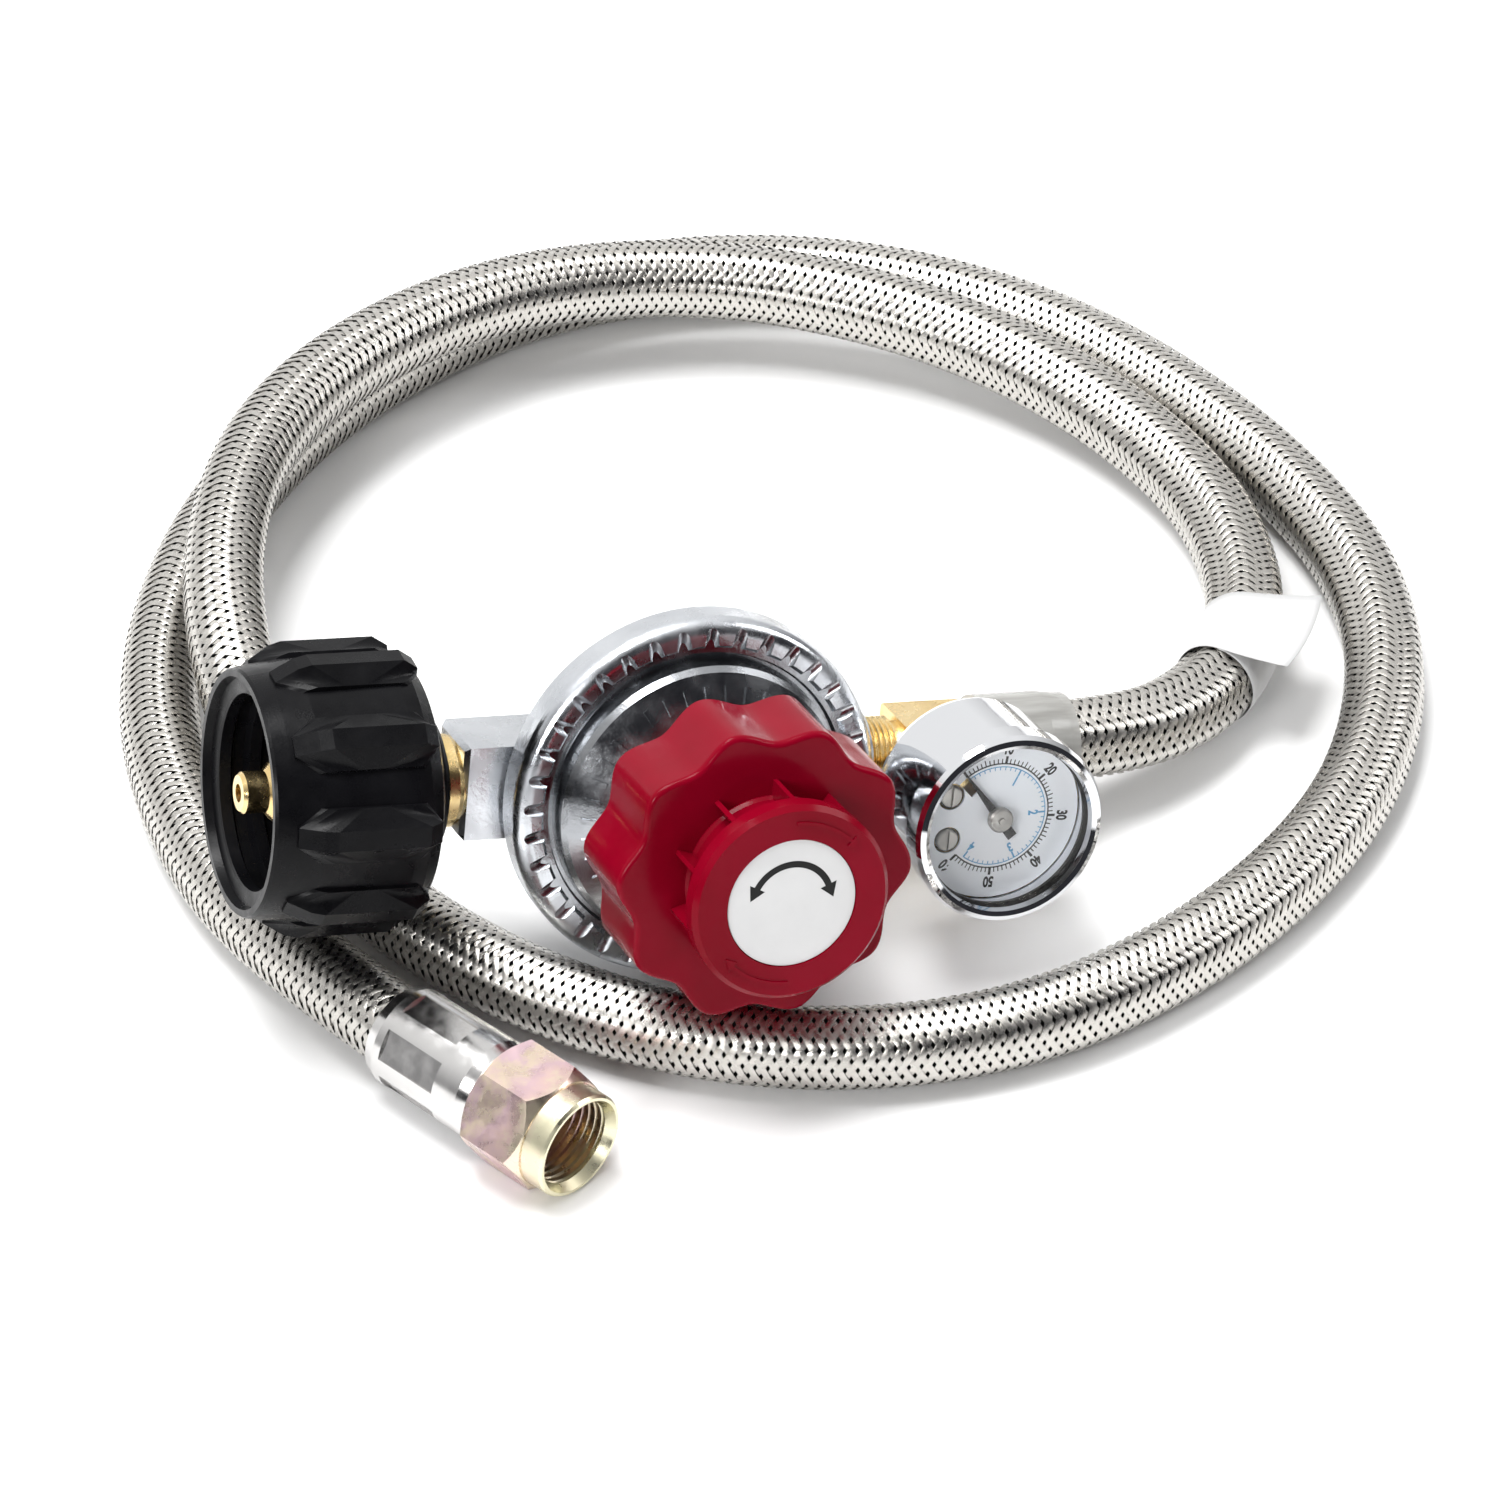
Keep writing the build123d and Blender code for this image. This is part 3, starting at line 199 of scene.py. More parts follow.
def die_cast(name, rough, shade=1.0):
    # shade scales the whole colour down, for a copy that paints in shade
    low, high = [tuple(c * shade for c in tone) for tone in ((0.52, 0.54, 0.57), (0.70, 0.72, 0.75))]
    p = Paint(name, high, rough, 1.0)
    p.rough(p.span(p.noise(160, 4), rough * 0.6, rough * 1.6))
    p.colour(p.ramp(p.noise(70, 3), [(0.3, low), (0.7, high)]))
    p.bump(p.noise(90, 2), 0.00018, 0.6)
    p.bump(p.noise(1100, 4, 0.65), 0.00004, 0.8)
    return p.mat


def brass(name, origin, axis, spacing=0.00022):
    p = Paint(name, (0.80, 0.58, 0.26), 0.22, 1.0)
    p.colour(
        p.ramp(
            p.noise(130, 4),
            [(0.25, (0.62, 0.42, 0.17)), (0.5, (0.83, 0.62, 0.29)), (0.8, (0.90, 0.73, 0.42))],
        )
    )
    p.rough(p.span(p.noise(260, 4), 0.14, 0.36))
    p.bump(p.rings(origin, axis, spacing), 0.000008, 0.6)
    p.bump(p.noise(500, 4), 0.00002, 0.5)
    return p.mat


def chrome(name, rough=0.05):
    p = Paint(name, (0.74, 0.75, 0.77), rough, 1.0)
    p.rough(p.span(p.noise(220, 4), rough * 0.6, rough * 2.2))
    p.bump(p.noise(120, 2), 0.00006, 0.4)
    return p.mat


def steel(name, base=(0.66, 0.66, 0.67), rough=0.28):
    p = Paint(name, base, rough, 1.0)
    p.rough(p.span(p.noise(400, 4), rough * 0.7, rough * 1.5))
    p.bump(p.noise(1400, 3), 0.00001, 0.6)
    return p.mat


def knob_red():
    p = Paint("knob_red", (0.19, 0.001, 0.010), 0.14, 0.0, Specular_IOR_Level=0.08)
    p.colour(p.ramp(p.noise(60, 3), [(0.3, (0.17, 0.0008, 0.008)), (0.7, (0.21, 0.001, 0.012))]))
    p.rough(p.span(p.noise(180, 4), 0.10, 0.24))
    p.bump(p.noise(110, 2), 0.0001, 0.5)
    p.bump(p.noise(2200, 2), 0.000006, 0.6)
    return p.mat


def nut_black():
    p = Paint("nut_black", (0.003, 0.003, 0.004), 0.30, Specular_IOR_Level=0.12)
    p.colour(p.ramp(p.noise(90, 4), [(0.3, (0.002, 0.002, 0.0025)), (0.75, (0.005, 0.005, 0.006))]))
    p.rough(p.span(p.noise(300, 4), 0.22, 0.40))
    p.bump(p.noise(2600, 3), 0.00003, 0.6)
    p.bump(p.noise(160, 2), 0.0001, 0.4)
    return p.mat


def yellow_zinc():
    """Passivated zinc: pale yellow at the mouth, then pink and lilac, in soft clouds."""
    p = Paint("yellow_zinc", (0.74, 0.60, 0.50), 0.25, 1.0)
    depth = p.math("MULTIPLY", p.along(END_MOUTH, END_AXIS), -1 / (16 * MM))
    clouds = p.math("MULTIPLY", p.noise(55, 6, 0.7), 1.6)
    film = p.ramp(
        p.math("ADD", depth, p.math("SUBTRACT", clouds, 0.8)),
        [
            (0.05, (0.74, 0.70, 0.50)),
            (0.28, (0.74, 0.63, 0.49)),
            (0.42, (0.72, 0.53, 0.49)),
            (0.62, (0.68, 0.49, 0.52)),
            (0.80, (0.74, 0.61, 0.48)),
            (0.95, (0.68, 0.50, 0.53)),
        ],
    )
    p.colour(film)
    p.rough(p.span(p.noise(300, 4), 0.20, 0.42))
    p.bump(p.noise(700, 4), 0.00002, 0.6)
    return p.mat


def paper(name, base=(0.66, 0.66, 0.66)):
    p = Paint(name, base, 0.42)
    p.colour(p.ramp(p.noise(150, 3), [(0.3, tuple(c * 0.95 for c in base)), (0.7, base)]))
    p.bump(p.noise(1800, 3), 0.00001, 0.6)
    p.bump(p.noise(110, 2), 0.00008, 0.4)
    return p.mat


def rubber():
    p = Paint("rubber_black", (0.02, 0.02, 0.02), 0.7)
    p.rough(p.span(p.noise(500, 3), 0.6, 0.8))
    p.bump(p.noise(1500, 3), 0.00003, 0.6)
    return p.mat


def ink(name, base):
    p = Paint(name, base, 0.45, Specular_IOR_Level=0.15)
    p.rough(p.span(p.noise(900, 3), 0.38, 0.55))
    return p.mat


def dial_white():
    p = Paint("dial_white", (0.90, 0.94, 0.99), 0.35)
    p.colour(p.ramp(p.noise(90, 2), [(0.3, (0.88, 0.93, 0.98)), (0.7, (0.92, 0.95, 0.99))]))
    p.bump(p.noise(1600, 2), 0.000006, 0.5)
    return p.mat


def window_glass():
    """Clear lens: a small smudged share reflects, and the rest lets light straight through."""
    p = Paint("window_glass", (1, 1, 1), 0.02)
    clear = p.node("ShaderNodeBsdfTransparent")
    clear.inputs[0].default_value = (1.0, 1.0, 1.0, 1.0)
    gloss = p.node("ShaderNodeBsdfGlossy")
    gloss.inputs["Roughness"].default_value = 0.02
    share = p.span(p.noise(70, 4), 0.01, 0.04)
    mix = p.node("ShaderNodeMixShader", {0: share, 1: clear.outputs[0], 2: gloss.outputs[0]})
    p.tree.links.new(mix.outputs[0], p.tree.nodes["Material Output"].inputs["Surface"])
    p.tree.nodes.remove(p.shader)
    return p.mat


def sleeve_clear():
    """Clear heat-shrink sleeve, a little grey, with lengthwise streaks."""
    p = Paint("sleeve_clear", (0.62, 0.60, 0.56), 0.18)
    streaks = p.noise(120, 3, stretch=(0.3, 3.0, 1.0))
    body = p.node("ShaderNodeBsdfTranslucent")
    body.inputs[0].default_value = (0.62, 0.62, 0.60, 1.0)
    clear = p.node("ShaderNodeBsdfTransparent")
    clear.inputs[0].default_value = (0.95, 0.95, 0.94, 1.0)
    p.colour(p.ramp(streaks, [(0.3, (0.42, 0.41, 0.39)), (0.7, (0.62, 0.62, 0.60))]))
    share = p.span(streaks, 0.55, 0.88)
    p.bump(streaks, 0.0002, 0.6)
    mix = p.node("ShaderNodeMixShader", {0: share, 1: clear.outputs[0], 2: p.shader.outputs[0]})
    thick = p.node("ShaderNodeMixShader", {1: mix.outputs[0], 2: body.outputs[0]})
    thick.inputs[0].default_value = 0.25
    p.tree.links.new(thick.outputs[0], p.tree.nodes["Material Output"].inputs["Surface"])
    return p.mat


def braid_wire():
    """Bright stainless band of parallel wires, with painted shade in the grooves between them: u runs across
    the band.
    """
    p = Paint("braid_wire", (0.50, 0.49, 0.47), 0.27, 1.0, Anisotropic=0.6, Anisotropic_Rotation=0.25)
    uv = p.node("ShaderNodeUVMap", uv_map="band").outputs[0]
    across = p.node("ShaderNodeSeparateXYZ", {0: uv}).outputs["X"]
    wires = p.math("ABSOLUTE", p.math("SINE", p.math("MULTIPLY", across, math.pi * WIRES)))
    # the colour darkens towards each wire's edges: painted shade in the grooves between wires
    bands = [(0.0, (0.19, 0.18, 0.16)), (0.4, (0.47, 0.45, 0.42)), (0.9, (0.68, 0.66, 0.62))]
    p.colour(p.ramp(wires, bands))
    p.rough(p.span(p.noise(500, 3), 0.20, 0.34))
    p.bump(wires, 0.00003, 0.6)
    tangent = p.node("ShaderNodeTangent", direction_type="UV_MAP", uv_map="band")
    p.tree.links.new(tangent.outputs[0], p.shader.inputs["Tangent"])
    return p.mat


def floor_pale():
    p = Paint("floor_pale", (0.90, 0.90, 0.90), 0.55)
    p.colour(p.ramp(p.noise(3, 2), [(0.3, (0.89, 0.89, 0.89)), (0.7, (0.92, 0.92, 0.92))]))
    return p.mat


WIRES = 5  # wires side by side in one band of the braid
flow_brass = brass("brass_flow", PORT, FLOW)
front_brass = brass("brass_front", GAUGE, FRONT)
end_brass = brass("brass_end", END_MOUTH, END_AXIS)
cast = die_cast("die_cast_zinc", 0.24)
# the bonnet takes a darker copy of the die-cast colour: painted shade for the dark reflections the cone shows
shaded_cover = die_cast("cover_zinc_shaded", 0.20, 0.62)
plain_steel = steel("plain_steel")
bright_steel = steel("bright_steel", (0.62, 0.61, 0.60), 0.18)
dull_steel = steel("dull_steel", (0.36, 0.35, 0.33), 0.42)
bright_chrome = chrome("bright_chrome")
black_rubber = rubber()
black_plastic = nut_black()
white_paper = paper("white_paper")
# the hose tag takes a darker copy of the paper: painted shade for the grey the tag shows
shaded_tag_paper = paper("shaded_tag_paper", (0.56, 0.56, 0.56))
black_ink = ink("black_ink", (0.015, 0.015, 0.015))
blue_ink = ink("blue_ink", (0.10, 0.36, 0.62))

looks = {
    cast: ["regulator_body"],
    shaded_cover: ["bonnet"],
    black_rubber: ["diaphragm", "window_gasket"],
    plain_steel: [
        "diaphragm_plate", "diaphragm_washer", "poppet_spring", "adjusting_spring", "screw_circlip",
        "flow_check_spring", "hairspring",
    ],
    bright_steel: ["inlet_ferrule", "outlet_ferrule"],
    dull_steel: ["dial_screws", "pointer_cap"],
    flow_brass: [
        "inlet_nipple", "flow_check_poppet", "flow_check_retainer", "tee_fitting", "hose_stem", "valve_seat",
        "valve_poppet", "spring_button", "adjusting_screw",
    ],
    front_brass: [
        "gauge_socket", "bourdon_tube", "movement_back_plate", "movement_front_plate", "movement_pillars",
        "sector_gear", "pointer_arbor", "bourdon_link",
    ],
    end_brass: ["flare_stem"],
    yellow_zinc(): ["flare_nut"],
    bright_chrome: ["gauge_case", "gauge_bezel"],
    knob_red(): ["knob"],
    white_paper: ["knob_label"],
    black_plastic: ["thermal_bushing", "coupling_nut"],
    sleeve_clear(): ["clear_sleeve"],
    window_glass(): ["gauge_window"],
    dial_white(): ["gauge_dial"],
    black_ink: ["pointer"],
}
for material, names in looks.items():
    for name in names:
        nodes[name].data.materials.clear()
        nodes[name].data.materials.append(material)


def new_object(name, mesh, *materials):
    made = bpy.data.objects.new(name, mesh)
    bpy.context.scene.collection.objects.link(made)
    for material in materials:
        mesh.materials.append(material)
    return made


# ------------------------------------------------------------------------------------------------------------
# Springs, and the gauge's link
# ------------------------------------------------------------------------------------------------------------
def spring(name):
    """A copy of a spring's coil, attached to the regulator in place of the CAD part."""
    made = new_object(name + "_coil", nodes[name].data.copy())
    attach(made, "regulator")
    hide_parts(name)
    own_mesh(made)


spring("adjusting_spring")
spring("poppet_spring")
spring("flow_check_spring")


# the gauge's link, held by the tube's tip and meeting the pin in the sector's tail, stands as a fixed copy of
# the CAD part
link = new_object("gauge_link", nodes["bourdon_link"].data.copy())
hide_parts("bourdon_link")
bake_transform(link)


# ------------------------------------------------------------------------------------------------------------
# Hose: a rubber tube under two lays of flat wire bands, along one spline
# ------------------------------------------------------------------------------------------------------------
HOSE_R = 7.0 * MM
TUBE_START = 56.0 * MM
FIRST_RUN = 22.0 * MM
LAST_RUN = 37.0 * MM
FITTING_L = 20.0 * MM  # the hose ends this far behind the flare nut's mouth
tube_start = PORT + FLOW * TUBE_START
tube_end = END_MOUTH - END_AXIS * FITTING_L
ROUTE_MM = [
    (97.5, 23.5, 10.6),
    (111.5, 37, 8.8),
    (120, 56, 7.8),
    (122, 83, 8.0),
    (110, 114, 10.4),
    (88, 141, 13.2),
    (53, 161, 16.4),
    (10, 162, 19.6),
    (-32, 138, 21.6),
    (-54, 95, 21.8),
    (-55, 50, 8.0),
    (-38, 5, 7.0),
    (-3, -29.5, 7.0),
    (42, -41, 7.0),
    (87, -27, 7.0),
    (123, 2, 7.0),
    (141.5, 45, 7.0),
    (136, 91, 7.0),
    (116, 136, 7.0),
    (80, 167, 7.0),
    (33, 176.5, 7.0),
    (-11, 161, 7.0),
    (-45, 130, 7.0),
    (-67.5, 88, 7.0),
    (-71, 43, 7.0),
]
route = [tube_start, tube_start + FLOW * FIRST_RUN]
route += [Vector(point) * MM for point in ROUTE_MM]
route += [tube_end - END_AXIS * LAST_RUN, tube_end]


def spline_points(points, resolution):
    """The points of a NURBS curve through Blender's own evaluation."""
    data = bpy.data.curves.new("route", "CURVE")
    data.dimensions = "3D"
    spline = data.splines.new("NURBS")
    spline.points.add(len(points) - 1)
    for held, point in zip(spline.points, points):
        held.co = (*point, 1.0)
    spline.order_u = 3
    spline.use_endpoint_u = True
    spline.resolution_u = resolution
    made = bpy.data.objects.new("route", data)
    bpy.context.scene.collection.objects.link(made)
    mesh = bpy.data.meshes.new_from_object(made)
    found = np.array([vertex.co for vertex in mesh.vertices])
    bpy.data.objects.remove(made)
    bpy.data.meshes.remove(mesh)
    return found


class Line:
    """A centreline with a frame that turns as little as it can, read by distance along it."""

    def __init__(self, points):
        steps = np.linalg.norm(np.diff(points, axis=0), axis=1)
        keep = np.concatenate([[True], steps > 1e-7])
        self.points = points[keep]
        steps = np.linalg.norm(np.diff(self.points, axis=0), axis=1)
        self.at = np.concatenate([[0.0], np.cumsum(steps)])
        self.length = self.at[-1]
        tangents = np.gradient(self.points, self.at, axis=0)
        self.tangents = tangents / np.linalg.norm(tangents, axis=1)[:, None]
        side = np.cross(self.tangents[0], (0, 0, 1.0))
        sides = [side / np.linalg.norm(side)]
        for tangent in self.tangents[1:]:
            side = sides[-1] - tangent * np.dot(sides[-1], tangent)
            sides.append(side / np.linalg.norm(side))
        self.sides = np.array(sides)

    def read(self, distance):
        """Point, side and third axis at each distance."""
        def between(rows):
            return np.stack([np.interp(distance, self.at, rows[:, k]) for k in range(3)], axis=1)

        tangent = between(self.tangents)
        tangent /= np.linalg.norm(tangent, axis=1)[:, None]
        side = between(self.sides)
        side -= tangent * np.sum(side * tangent, axis=1)[:, None]
        side /= np.linalg.norm(side, axis=1)[:, None]
        return between(self.points), side, np.cross(tangent, side)

    def surface(self, distance, angle, radius):
        """Points at this distance along, angle round and radius out."""
        centre, side, other = self.read(distance)
        return centre + side * (radius * np.cos(angle))[:, None] + other * (radius * np.sin(angle))[:, None]


hose_line = Line(spline_points(route, 24))

CARRIERS = 12  # bands in each lay
BRAID_PITCH = 22.9 * MM  # along the hose for one turn of a band
BAND_W = 1.05 * MM
CREST_R = HOSE_R - 0.03 * MM
TROUGH_R = HOSE_R - 0.42 * MM
CORE_R = HOSE_R - 0.75 * MM
BAND_EDGE_DROP = 0.07 * MM  # a band's edges lie this far below its middle
STEPS_PER_PERIOD = 6
# a band goes over two bands of the other lay and under the next two
WEAVE = np.array([1.0, 1.0, 1.0, 0.0, 0.0, 0.0])


def braid_mesh(line):
    """One mesh: the dark core first, then both lays of bands."""
    around = 20
    rings = 360
    distance = np.repeat(np.linspace(0, line.length, rings), around)
    angle = np.tile(np.arange(around) * 2 * math.pi / around, rings)
    vertices = [line.surface(distance, angle, np.full(len(angle), CORE_R))]
    faces = []
    uvs = []
    kinds = []
    for ring in range(rings - 1):
        for k in range(around):
            a = ring * around + k
            b = ring * around + (k + 1) % around
            faces.append((a, b, b + around, a + around))
            uvs.append(((0, 0), (0, 0), (0, 0), (0, 0)))
            kinds.append(0)
    base = rings * around
    crossings = 2 * CARRIERS * line.length / BRAID_PITCH
    steps = int(crossings / 4 * STEPS_PER_PERIOD)
    along = np.linspace(0, line.length, steps)
    turn = along / BRAID_PITCH * 2 * math.pi
    lead = math.atan2(BRAID_PITCH, 2 * math.pi * HOSE_R)
    for lay in (1, -1):
        for carrier in range(CARRIERS):
            start = carrier * 2 * math.pi / CARRIERS
            phase = 2 * carrier if lay == 1 else 2 * carrier + 2
            # crossings counted along the band, in quarters of the over-and-under period
            count = turn * CARRIERS / math.pi + phase
            share = (count % 4) / 4 * STEPS_PER_PERIOD
            low = np.floor(share).astype(int) % STEPS_PER_PERIOD
            high = (low + 1) % STEPS_PER_PERIOD
            part = share - np.floor(share)
            height = WEAVE[low] * (1 - part) + WEAVE[high] * part
            radius = TROUGH_R + (CREST_R - TROUGH_R) * height
            middle = start + lay * turn
            rows = []
            for offset, drop in ((-0.5, BAND_EDGE_DROP), (0.0, 0.0), (0.5, BAND_EDGE_DROP)):
                shift_along = -offset * BAND_W * math.cos(lead)
                shift_angle = lay * offset * BAND_W * math.sin(lead) / HOSE_R
                where = np.clip(along + shift_along, 0, line.length)
                rows.append(line.surface(where, middle + shift_angle, radius - drop))
            vertices += rows
            for row in range(2):
                first = base + row * steps
                second = first + steps
                for k in range(steps - 1):
                    quad = (first + k, second + k, second + k + 1, first + k + 1)
                    edge = (row / 2, (row + 1) / 2)
                    uv = ((edge[0], k), (edge[1], k), (edge[1], k + 1), (edge[0], k + 1))
                    if lay == -1:
                        quad = quad[::-1]
                        uv = uv[::-1]
                    faces.append(quad)
                    uvs.append(uv)
                    kinds.append(1)
            base += 3 * steps
    mesh = bpy.data.meshes.new("hose_braid")
    mesh.from_pydata([tuple(v) for v in np.concatenate(vertices)], [], faces)
    layer = mesh.uv_layers.new(name="band")
    layer.data.foreach_set("uv", np.array(uvs, np.float32).ravel())
    mesh.polygons.foreach_set("material_index", kinds)
    mesh.polygons.foreach_set("use_smooth", [True] * len(faces))
    mesh.update()
    return mesh


# the rubber tube under the braid: black rubber, made darker still as painted shade in the gaps between bands
core_dark = Paint("hose_core", (0.004, 0.004, 0.004), 0.7, Specular_IOR_Level=0.1)
core_dark.bump(core_dark.noise(1200, 3), 0.00003, 0.6)
hose = new_object("hose_braid", braid_mesh(hose_line), core_dark.mat, braid_wire())
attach(hose, "regulator")
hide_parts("hose")

# ------------------------------------------------------------------------------------------------------------
# Label wrapped round the hose, its ends stuck together as a flag
# ------------------------------------------------------------------------------------------------------------
LABEL_FROM = 49.5 * MM
LABEL_TO = 67.5 * MM
LABEL_R = HOSE_R + 0.28 * MM
LABEL_STEP = 0.15 * MM  # the wrap's outer end lies this far over its start
FLAG_L = 13.0 * MM
FLAG_LIFT = 0.9 * MM
LABEL_T = 0.14 * MM


def hose_label_mesh():
    columns = 40
    rows = 8
    flag_columns = 8
    mesh = bmesh.new()
    grid = []
    along = np.linspace(LABEL_FROM, LABEL_TO, rows + 1)
    for column in range(columns + flag_columns + 1):
        if column <= columns:
            angle = np.full(rows + 1, TOP_ANGLE - 2 * math.pi + column * 2 * math.pi / columns)
            radius = np.full(rows + 1, LABEL_R + LABEL_STEP * column / columns)
            grid.append(hose_line.surface(along, angle, radius))
        else:
            step = (column - columns) / flag_columns
            centre, side, other = hose_line.read(along)
            angle = np.full(rows + 1, TOP_ANGLE)
            top = hose_line.surface(along, angle, np.full(rows + 1, LABEL_R + LABEL_STEP))
            outward = side * -math.sin(TOP_ANGLE) + other * math.cos(TOP_ANGLE)
            lift = FLAG_LIFT * step * step
            grid.append(top + outward * FLAG_L * step + np.array([0, 0, 1.0]) * lift)
    held = [[mesh.verts.new(point) for point in column] for column in grid]
    for a, b in zip(held, held[1:]):
        for k in range(rows):
            mesh.faces.new((a[k], a[k + 1], b[k + 1], b[k]))
    made = bpy.data.meshes.new("hose_label_wrap")
    mesh.normal_update()
    mesh.to_mesh(made)
    mesh.free()
    for face in made.polygons:
        face.use_smooth = True
    return made


# the angle round the line at which its surface faces up
_, near_side, near_other = hose_line.read(np.array([(LABEL_FROM + LABEL_TO) / 2]))
TOP_ANGLE = math.atan2(near_other[0][2], near_side[0][2])
label = new_object("hose_label_wrap", hose_label_mesh(), shaded_tag_paper)
thick = label.modifiers.new("thick", "SOLIDIFY")
thick.thickness = LABEL_T
thick.offset = 1.0
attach(label, "regulator")
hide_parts("hose_label")

# ------------------------------------------------------------------------------------------------------------
# Dial: printed scales and numbers
# ------------------------------------------------------------------------------------------------------------
DIAL_TOP = 18.7 * MM
ZERO = 129.0  # degrees
SWEEP = 264.0
PRINT_LIFT = 0.015 * MM


def front_frame(origin, distance):
    """A plane that faces the front, just above a surface this far along it."""
    turned = Matrix((FLOW, UP, FRONT)).transposed().to_4x4()
    return Matrix.Translation(origin + FRONT * (distance + PRINT_LIFT)) @ turned


dial_frame = front_frame(GAUGE, DIAL_TOP)


def dial_angle(share):
    return math.radians(ZERO - SWEEP * share)


def bar(mesh, angle, inner, outer, width):
    """A flat radial mark, in millimetres on the dial."""
    u = Vector((math.cos(angle), math.sin(angle), 0))
    v = Vector((-u.y, u.x, 0)) * width / 2
    corners = [u * inner - v, u * outer - v, u * outer + v, u * inner + v]
    mesh.faces.new([mesh.verts.new(corner * MM) for corner in corners])


def arc(mesh, radius, width, start=0.0, end=1.0, steps=96):
    """A flat line along part of the scale."""
    rows = []
    for k in range(steps + 1):
        angle = dial_angle(start + (end - start) * k / steps)
        u = Vector((math.cos(angle), math.sin(angle), 0)) * MM
        rows.append((mesh.verts.new(u * (radius - width / 2)), mesh.verts.new(u * (radius + width / 2))))
    for a, b in zip(rows, rows[1:]):
        mesh.faces.new((b[0], b[1], a[1], a[0]))


FIGURE_BOLD = 0.04  # share of the size
FIGURE_NARROW = 0.72
FIGURE_SPACE = 0.98


def number(mesh, text, angle, radius, size, turned=-90.0):
    """A figure whose middle stands at this angle and radius, its top outwards."""
    data = bpy.data.curves.new("figure", "FONT")
    data.body = text
    data.size = size
    data.align_x = "CENTER"
    data.align_y = "CENTER"
    data.offset = FIGURE_BOLD * size
    data.space_character = FIGURE_SPACE
    made = bpy.data.objects.new("figure", data)
    bpy.context.scene.collection.objects.link(made)
    flat = bpy.data.meshes.new_from_object(made)
    bpy.data.objects.remove(made)
    u = Vector((math.cos(angle), math.sin(angle), 0)) * radius
    narrow = Matrix.Diagonal((FIGURE_NARROW, 1.0, 1.0, 1.0))
    place = Matrix.Translation(u * MM) @ Matrix.Rotation(angle + math.radians(turned), 4, "Z") @ narrow
    flat.transform(place @ Matrix.Scale(MM, 4))
    mesh.from_mesh(flat)
    bpy.data.meshes.remove(flat)


def printed(name, mesh, ink_material, place, body):
    data = bpy.data.meshes.new(name)
    mesh.to_mesh(data)
    mesh.free()
    data.transform(place)
    made = new_object(name, data, ink_material)
    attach(made, body)
    return made


# radii and widths of the printing, in millimetres
SCALE_R = 9.1
SCALE_LINE_W = 0.24
TEN_MARK_R = 10.4
FIVE_MARK_R = 10.2
MARK_R = 9.95
TEN_MARK_W = 0.44
MARK_W = 0.19
NUMBER_R = 11.55
NUMBER_SIZE = 2.5

scale = bmesh.new()
arc(scale, SCALE_R, SCALE_LINE_W)
for k in range(61):
    major = k % 10 == 0
    half = k % 5 == 0
    reach = TEN_MARK_R if major else FIVE_MARK_R if half else MARK_R
    bar(scale, dial_angle(k / 60), SCALE_R, reach, TEN_MARK_W if major else MARK_W)
for k in range(7):
    number(scale, str(10 * k), dial_angle(k / 60 * 10), NUMBER_R, NUMBER_SIZE)
printed("dial_scale", scale, black_ink, dial_frame, "regulator")

# the inner scale runs 0 to 4 over nearly the same sweep
INNER_FULL = 4 / 4.137
INNER_R = 8.55
INNER_LINE_W = 0.16
INNER_UNIT_R = 7.4
INNER_TENTH_R = 7.95
INNER_UNIT_W = 0.3
INNER_TENTH_W = 0.15
INNER_NUMBER_R = 6.4
INNER_NUMBER_SIZE = 2.3

inner = bmesh.new()
arc(inner, INNER_R, INNER_LINE_W, 0.0, INNER_FULL)
for k in range(41):
    major = k % 10 == 0
    reach = INNER_UNIT_R if major else INNER_TENTH_R
    width = INNER_UNIT_W if major else INNER_TENTH_W
    bar(inner, dial_angle(k / 40 * INNER_FULL), reach, INNER_R, width)
for k in range(1, 5):
    number(inner, str(k), dial_angle(k / 4 * INNER_FULL), INNER_NUMBER_R, INNER_NUMBER_SIZE)
printed("dial_inner_scale", inner, blue_ink, dial_frame, "regulator")

# ------------------------------------------------------------------------------------------------------------
# Knob label: a plain turning mark
# ------------------------------------------------------------------------------------------------------------
KNOB_LABEL_TOP = 47.1 * MM
knob_frame = front_frame(KNOB, KNOB_LABEL_TOP)
mark = bmesh.new()


def ring_part(mesh, radius, width, start, end, steps=40):
    """A flat line along part of a circle, in degrees."""
    rows = []
    for k in range(steps + 1):
        angle = math.radians(start + (end - start) * k / steps)
        u = Vector((math.cos(angle), math.sin(angle), 0)) * MM
        rows.append((mesh.verts.new(u * (radius - width / 2)), mesh.verts.new(u * (radius + width / 2))))
    for a, b in zip(rows, rows[1:]):
        mesh.faces.new((a[0], a[1], b[1], b[0]))


def head(mesh, radius, angle, size, sense):
    """An arrow head on a circle."""
    a = math.radians(angle)
    u = Vector((math.cos(a), math.sin(a), 0))
    v = Vector((-u.y, u.x, 0)) * sense
    centre = u * radius
    corners = [centre + u * size * 0.6, centre - u * size * 0.6, centre + v * size]
    mesh.faces.new([mesh.verts.new(corner * MM) for corner in corners])


ARROW_R = 6.6
ARROW_W = 1.1
ARROW_HEAD = 2.4
ARROW_FROM = 25
ARROW_TO = 155
ring_part(mark, ARROW_R, ARROW_W, ARROW_FROM, ARROW_TO)
head(mark, ARROW_R, ARROW_FROM, ARROW_HEAD, -1)
head(mark, ARROW_R, ARROW_TO, ARROW_HEAD, 1)
printed("knob_mark", mark, black_ink, knob_frame, "knob_group")

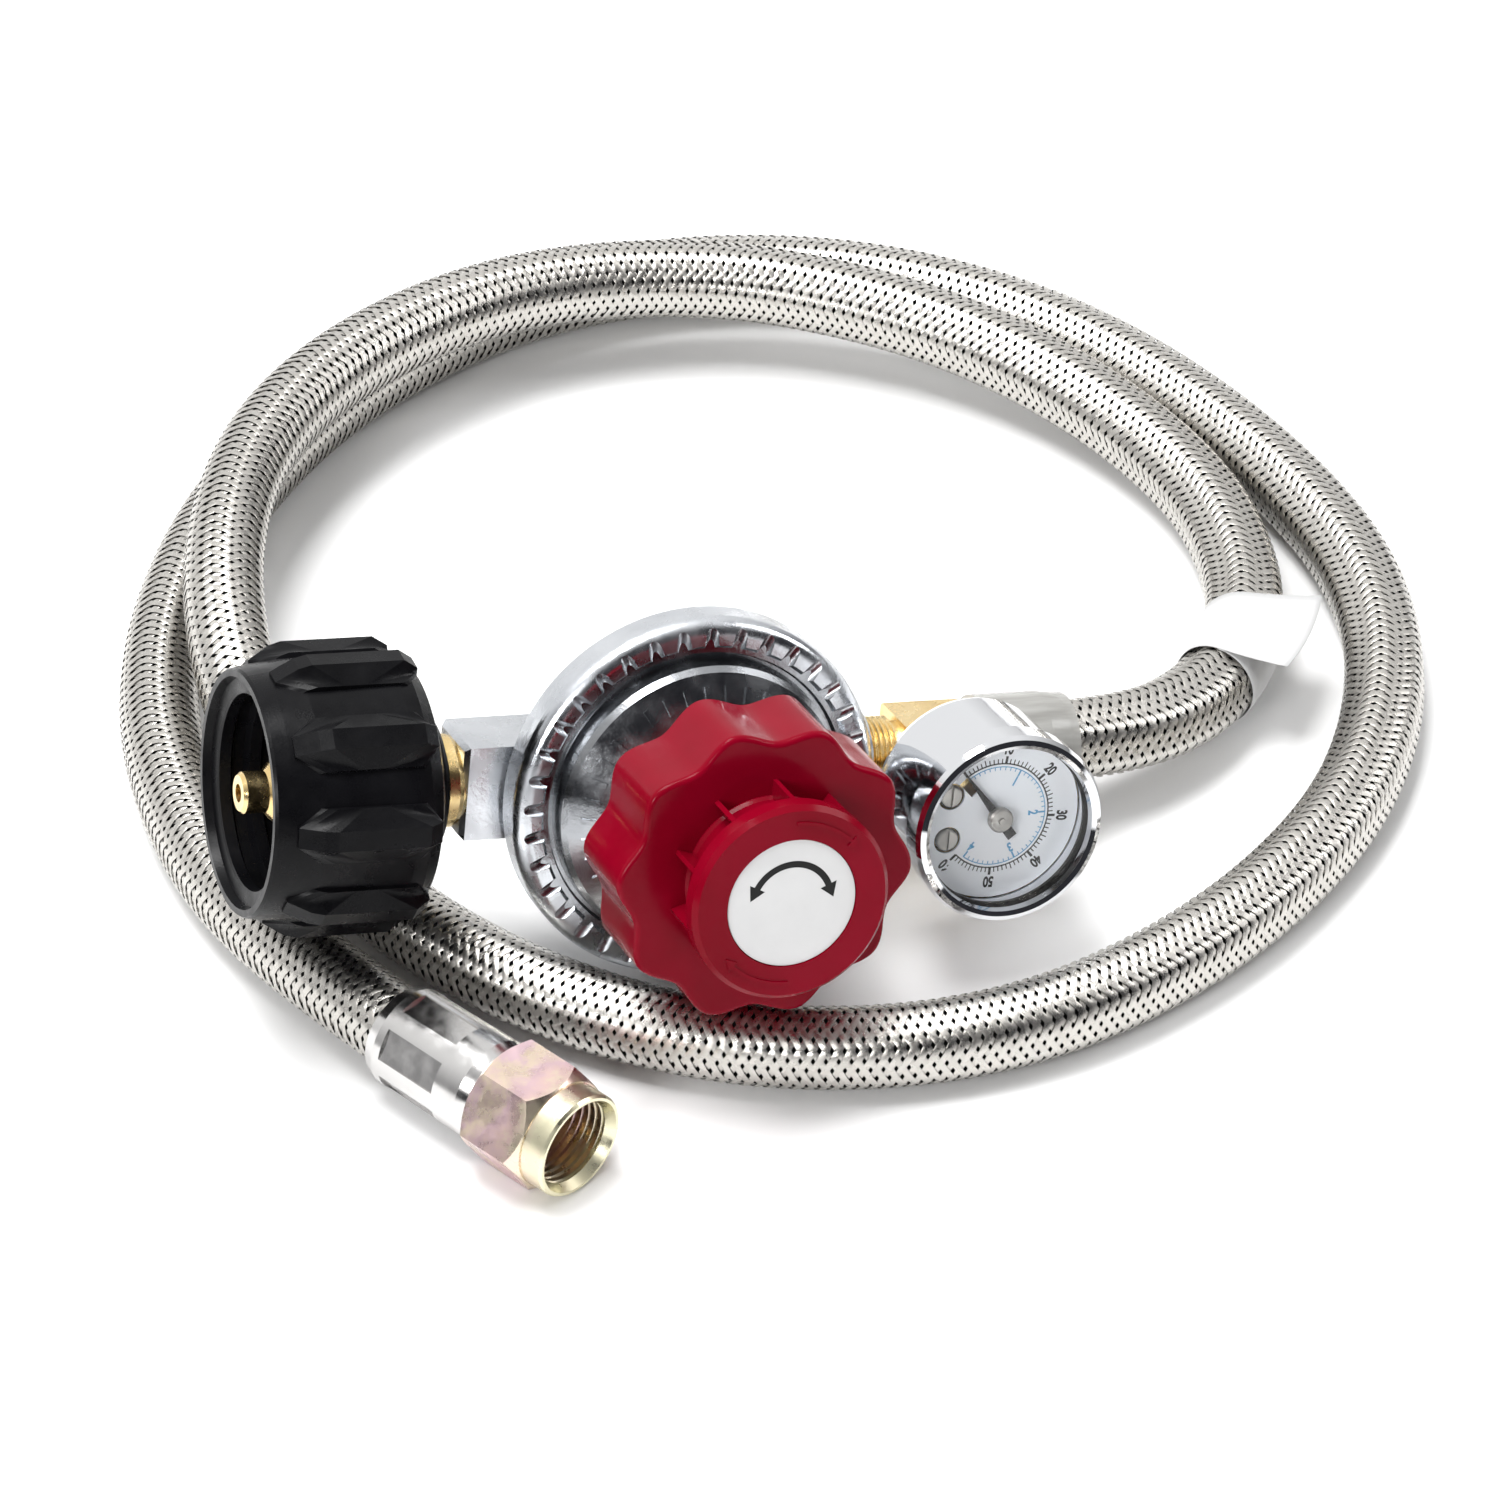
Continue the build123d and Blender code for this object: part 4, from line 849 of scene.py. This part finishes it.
# ------------------------------------------------------------------------------------------------------------
# Floor and lights
# ------------------------------------------------------------------------------------------------------------
floor_mesh = bmesh.new()
bmesh.ops.create_grid(floor_mesh, x_segments=1, y_segments=1, size=6.0)
floor_data = bpy.data.meshes.new("floor")
floor_mesh.to_mesh(floor_data)
floor_mesh.free()
floor = new_object("floor", floor_data, floor_pale())
floor.location = (0, 0, -0.0001)


def area_light(name, place, target, size, power):
    data = bpy.data.lights.new(name, "AREA")
    data.shape = "RECTANGLE"
    data.size, data.size_y = size
    data.energy = power
    made = bpy.data.objects.new(name, data)
    bpy.context.scene.collection.objects.link(made)
    made.location = place
    made.rotation_euler = (Vector(target) - made.location).to_track_quat("-Z", "Y").to_euler()


KEY_W = 30
SIDE_W = 8
FILL_W = 13
area_light("key_light", (-0.25, 0.25, 1.6), (0, 0.05, 0), (0.9, 0.7), KEY_W)
area_light("side_light", (1.4, -0.1, 0.9), (0, 0.05, 0), (0.5, 0.8), SIDE_W)
area_light("fill_light", (-1.0, -1.0, 0.9), (0, 0, 0), (0.5, 0.5), FILL_W)

SKY_AXIS = (-0.15, 0.72, 0.68)
SKY_DIM_AT = 0.05
SKY_WHITE_AT = 0.75
SKY_STRENGTH = 1.05
world = bpy.data.worlds.new("studio")
bpy.context.scene.world = world
world.use_nodes = True
sky = world.node_tree
background = sky.nodes["Background"]
# a white sweep behind and above, a dim room in front
direction = sky.nodes.new("ShaderNodeTexCoord")
towards = sky.nodes.new("ShaderNodeVectorMath")
towards.operation = "DOT_PRODUCT"
towards.inputs[1].default_value = SKY_AXIS
sky.links.new(direction.outputs["Generated"], towards.inputs[0])
shade = sky.nodes.new("ShaderNodeValToRGB")
sky.links.new(towards.outputs["Value"], shade.inputs[0])
shade.color_ramp.elements[0].position = SKY_DIM_AT
shade.color_ramp.elements[0].color = (0.03, 0.03, 0.035, 1)
shade.color_ramp.elements[1].position = SKY_WHITE_AT
shade.color_ramp.elements[1].color = (1.0, 1.0, 1.0, 1)
sky.links.new(shade.outputs[0], background.inputs[0])
background.inputs[1].default_value = SKY_STRENGTH
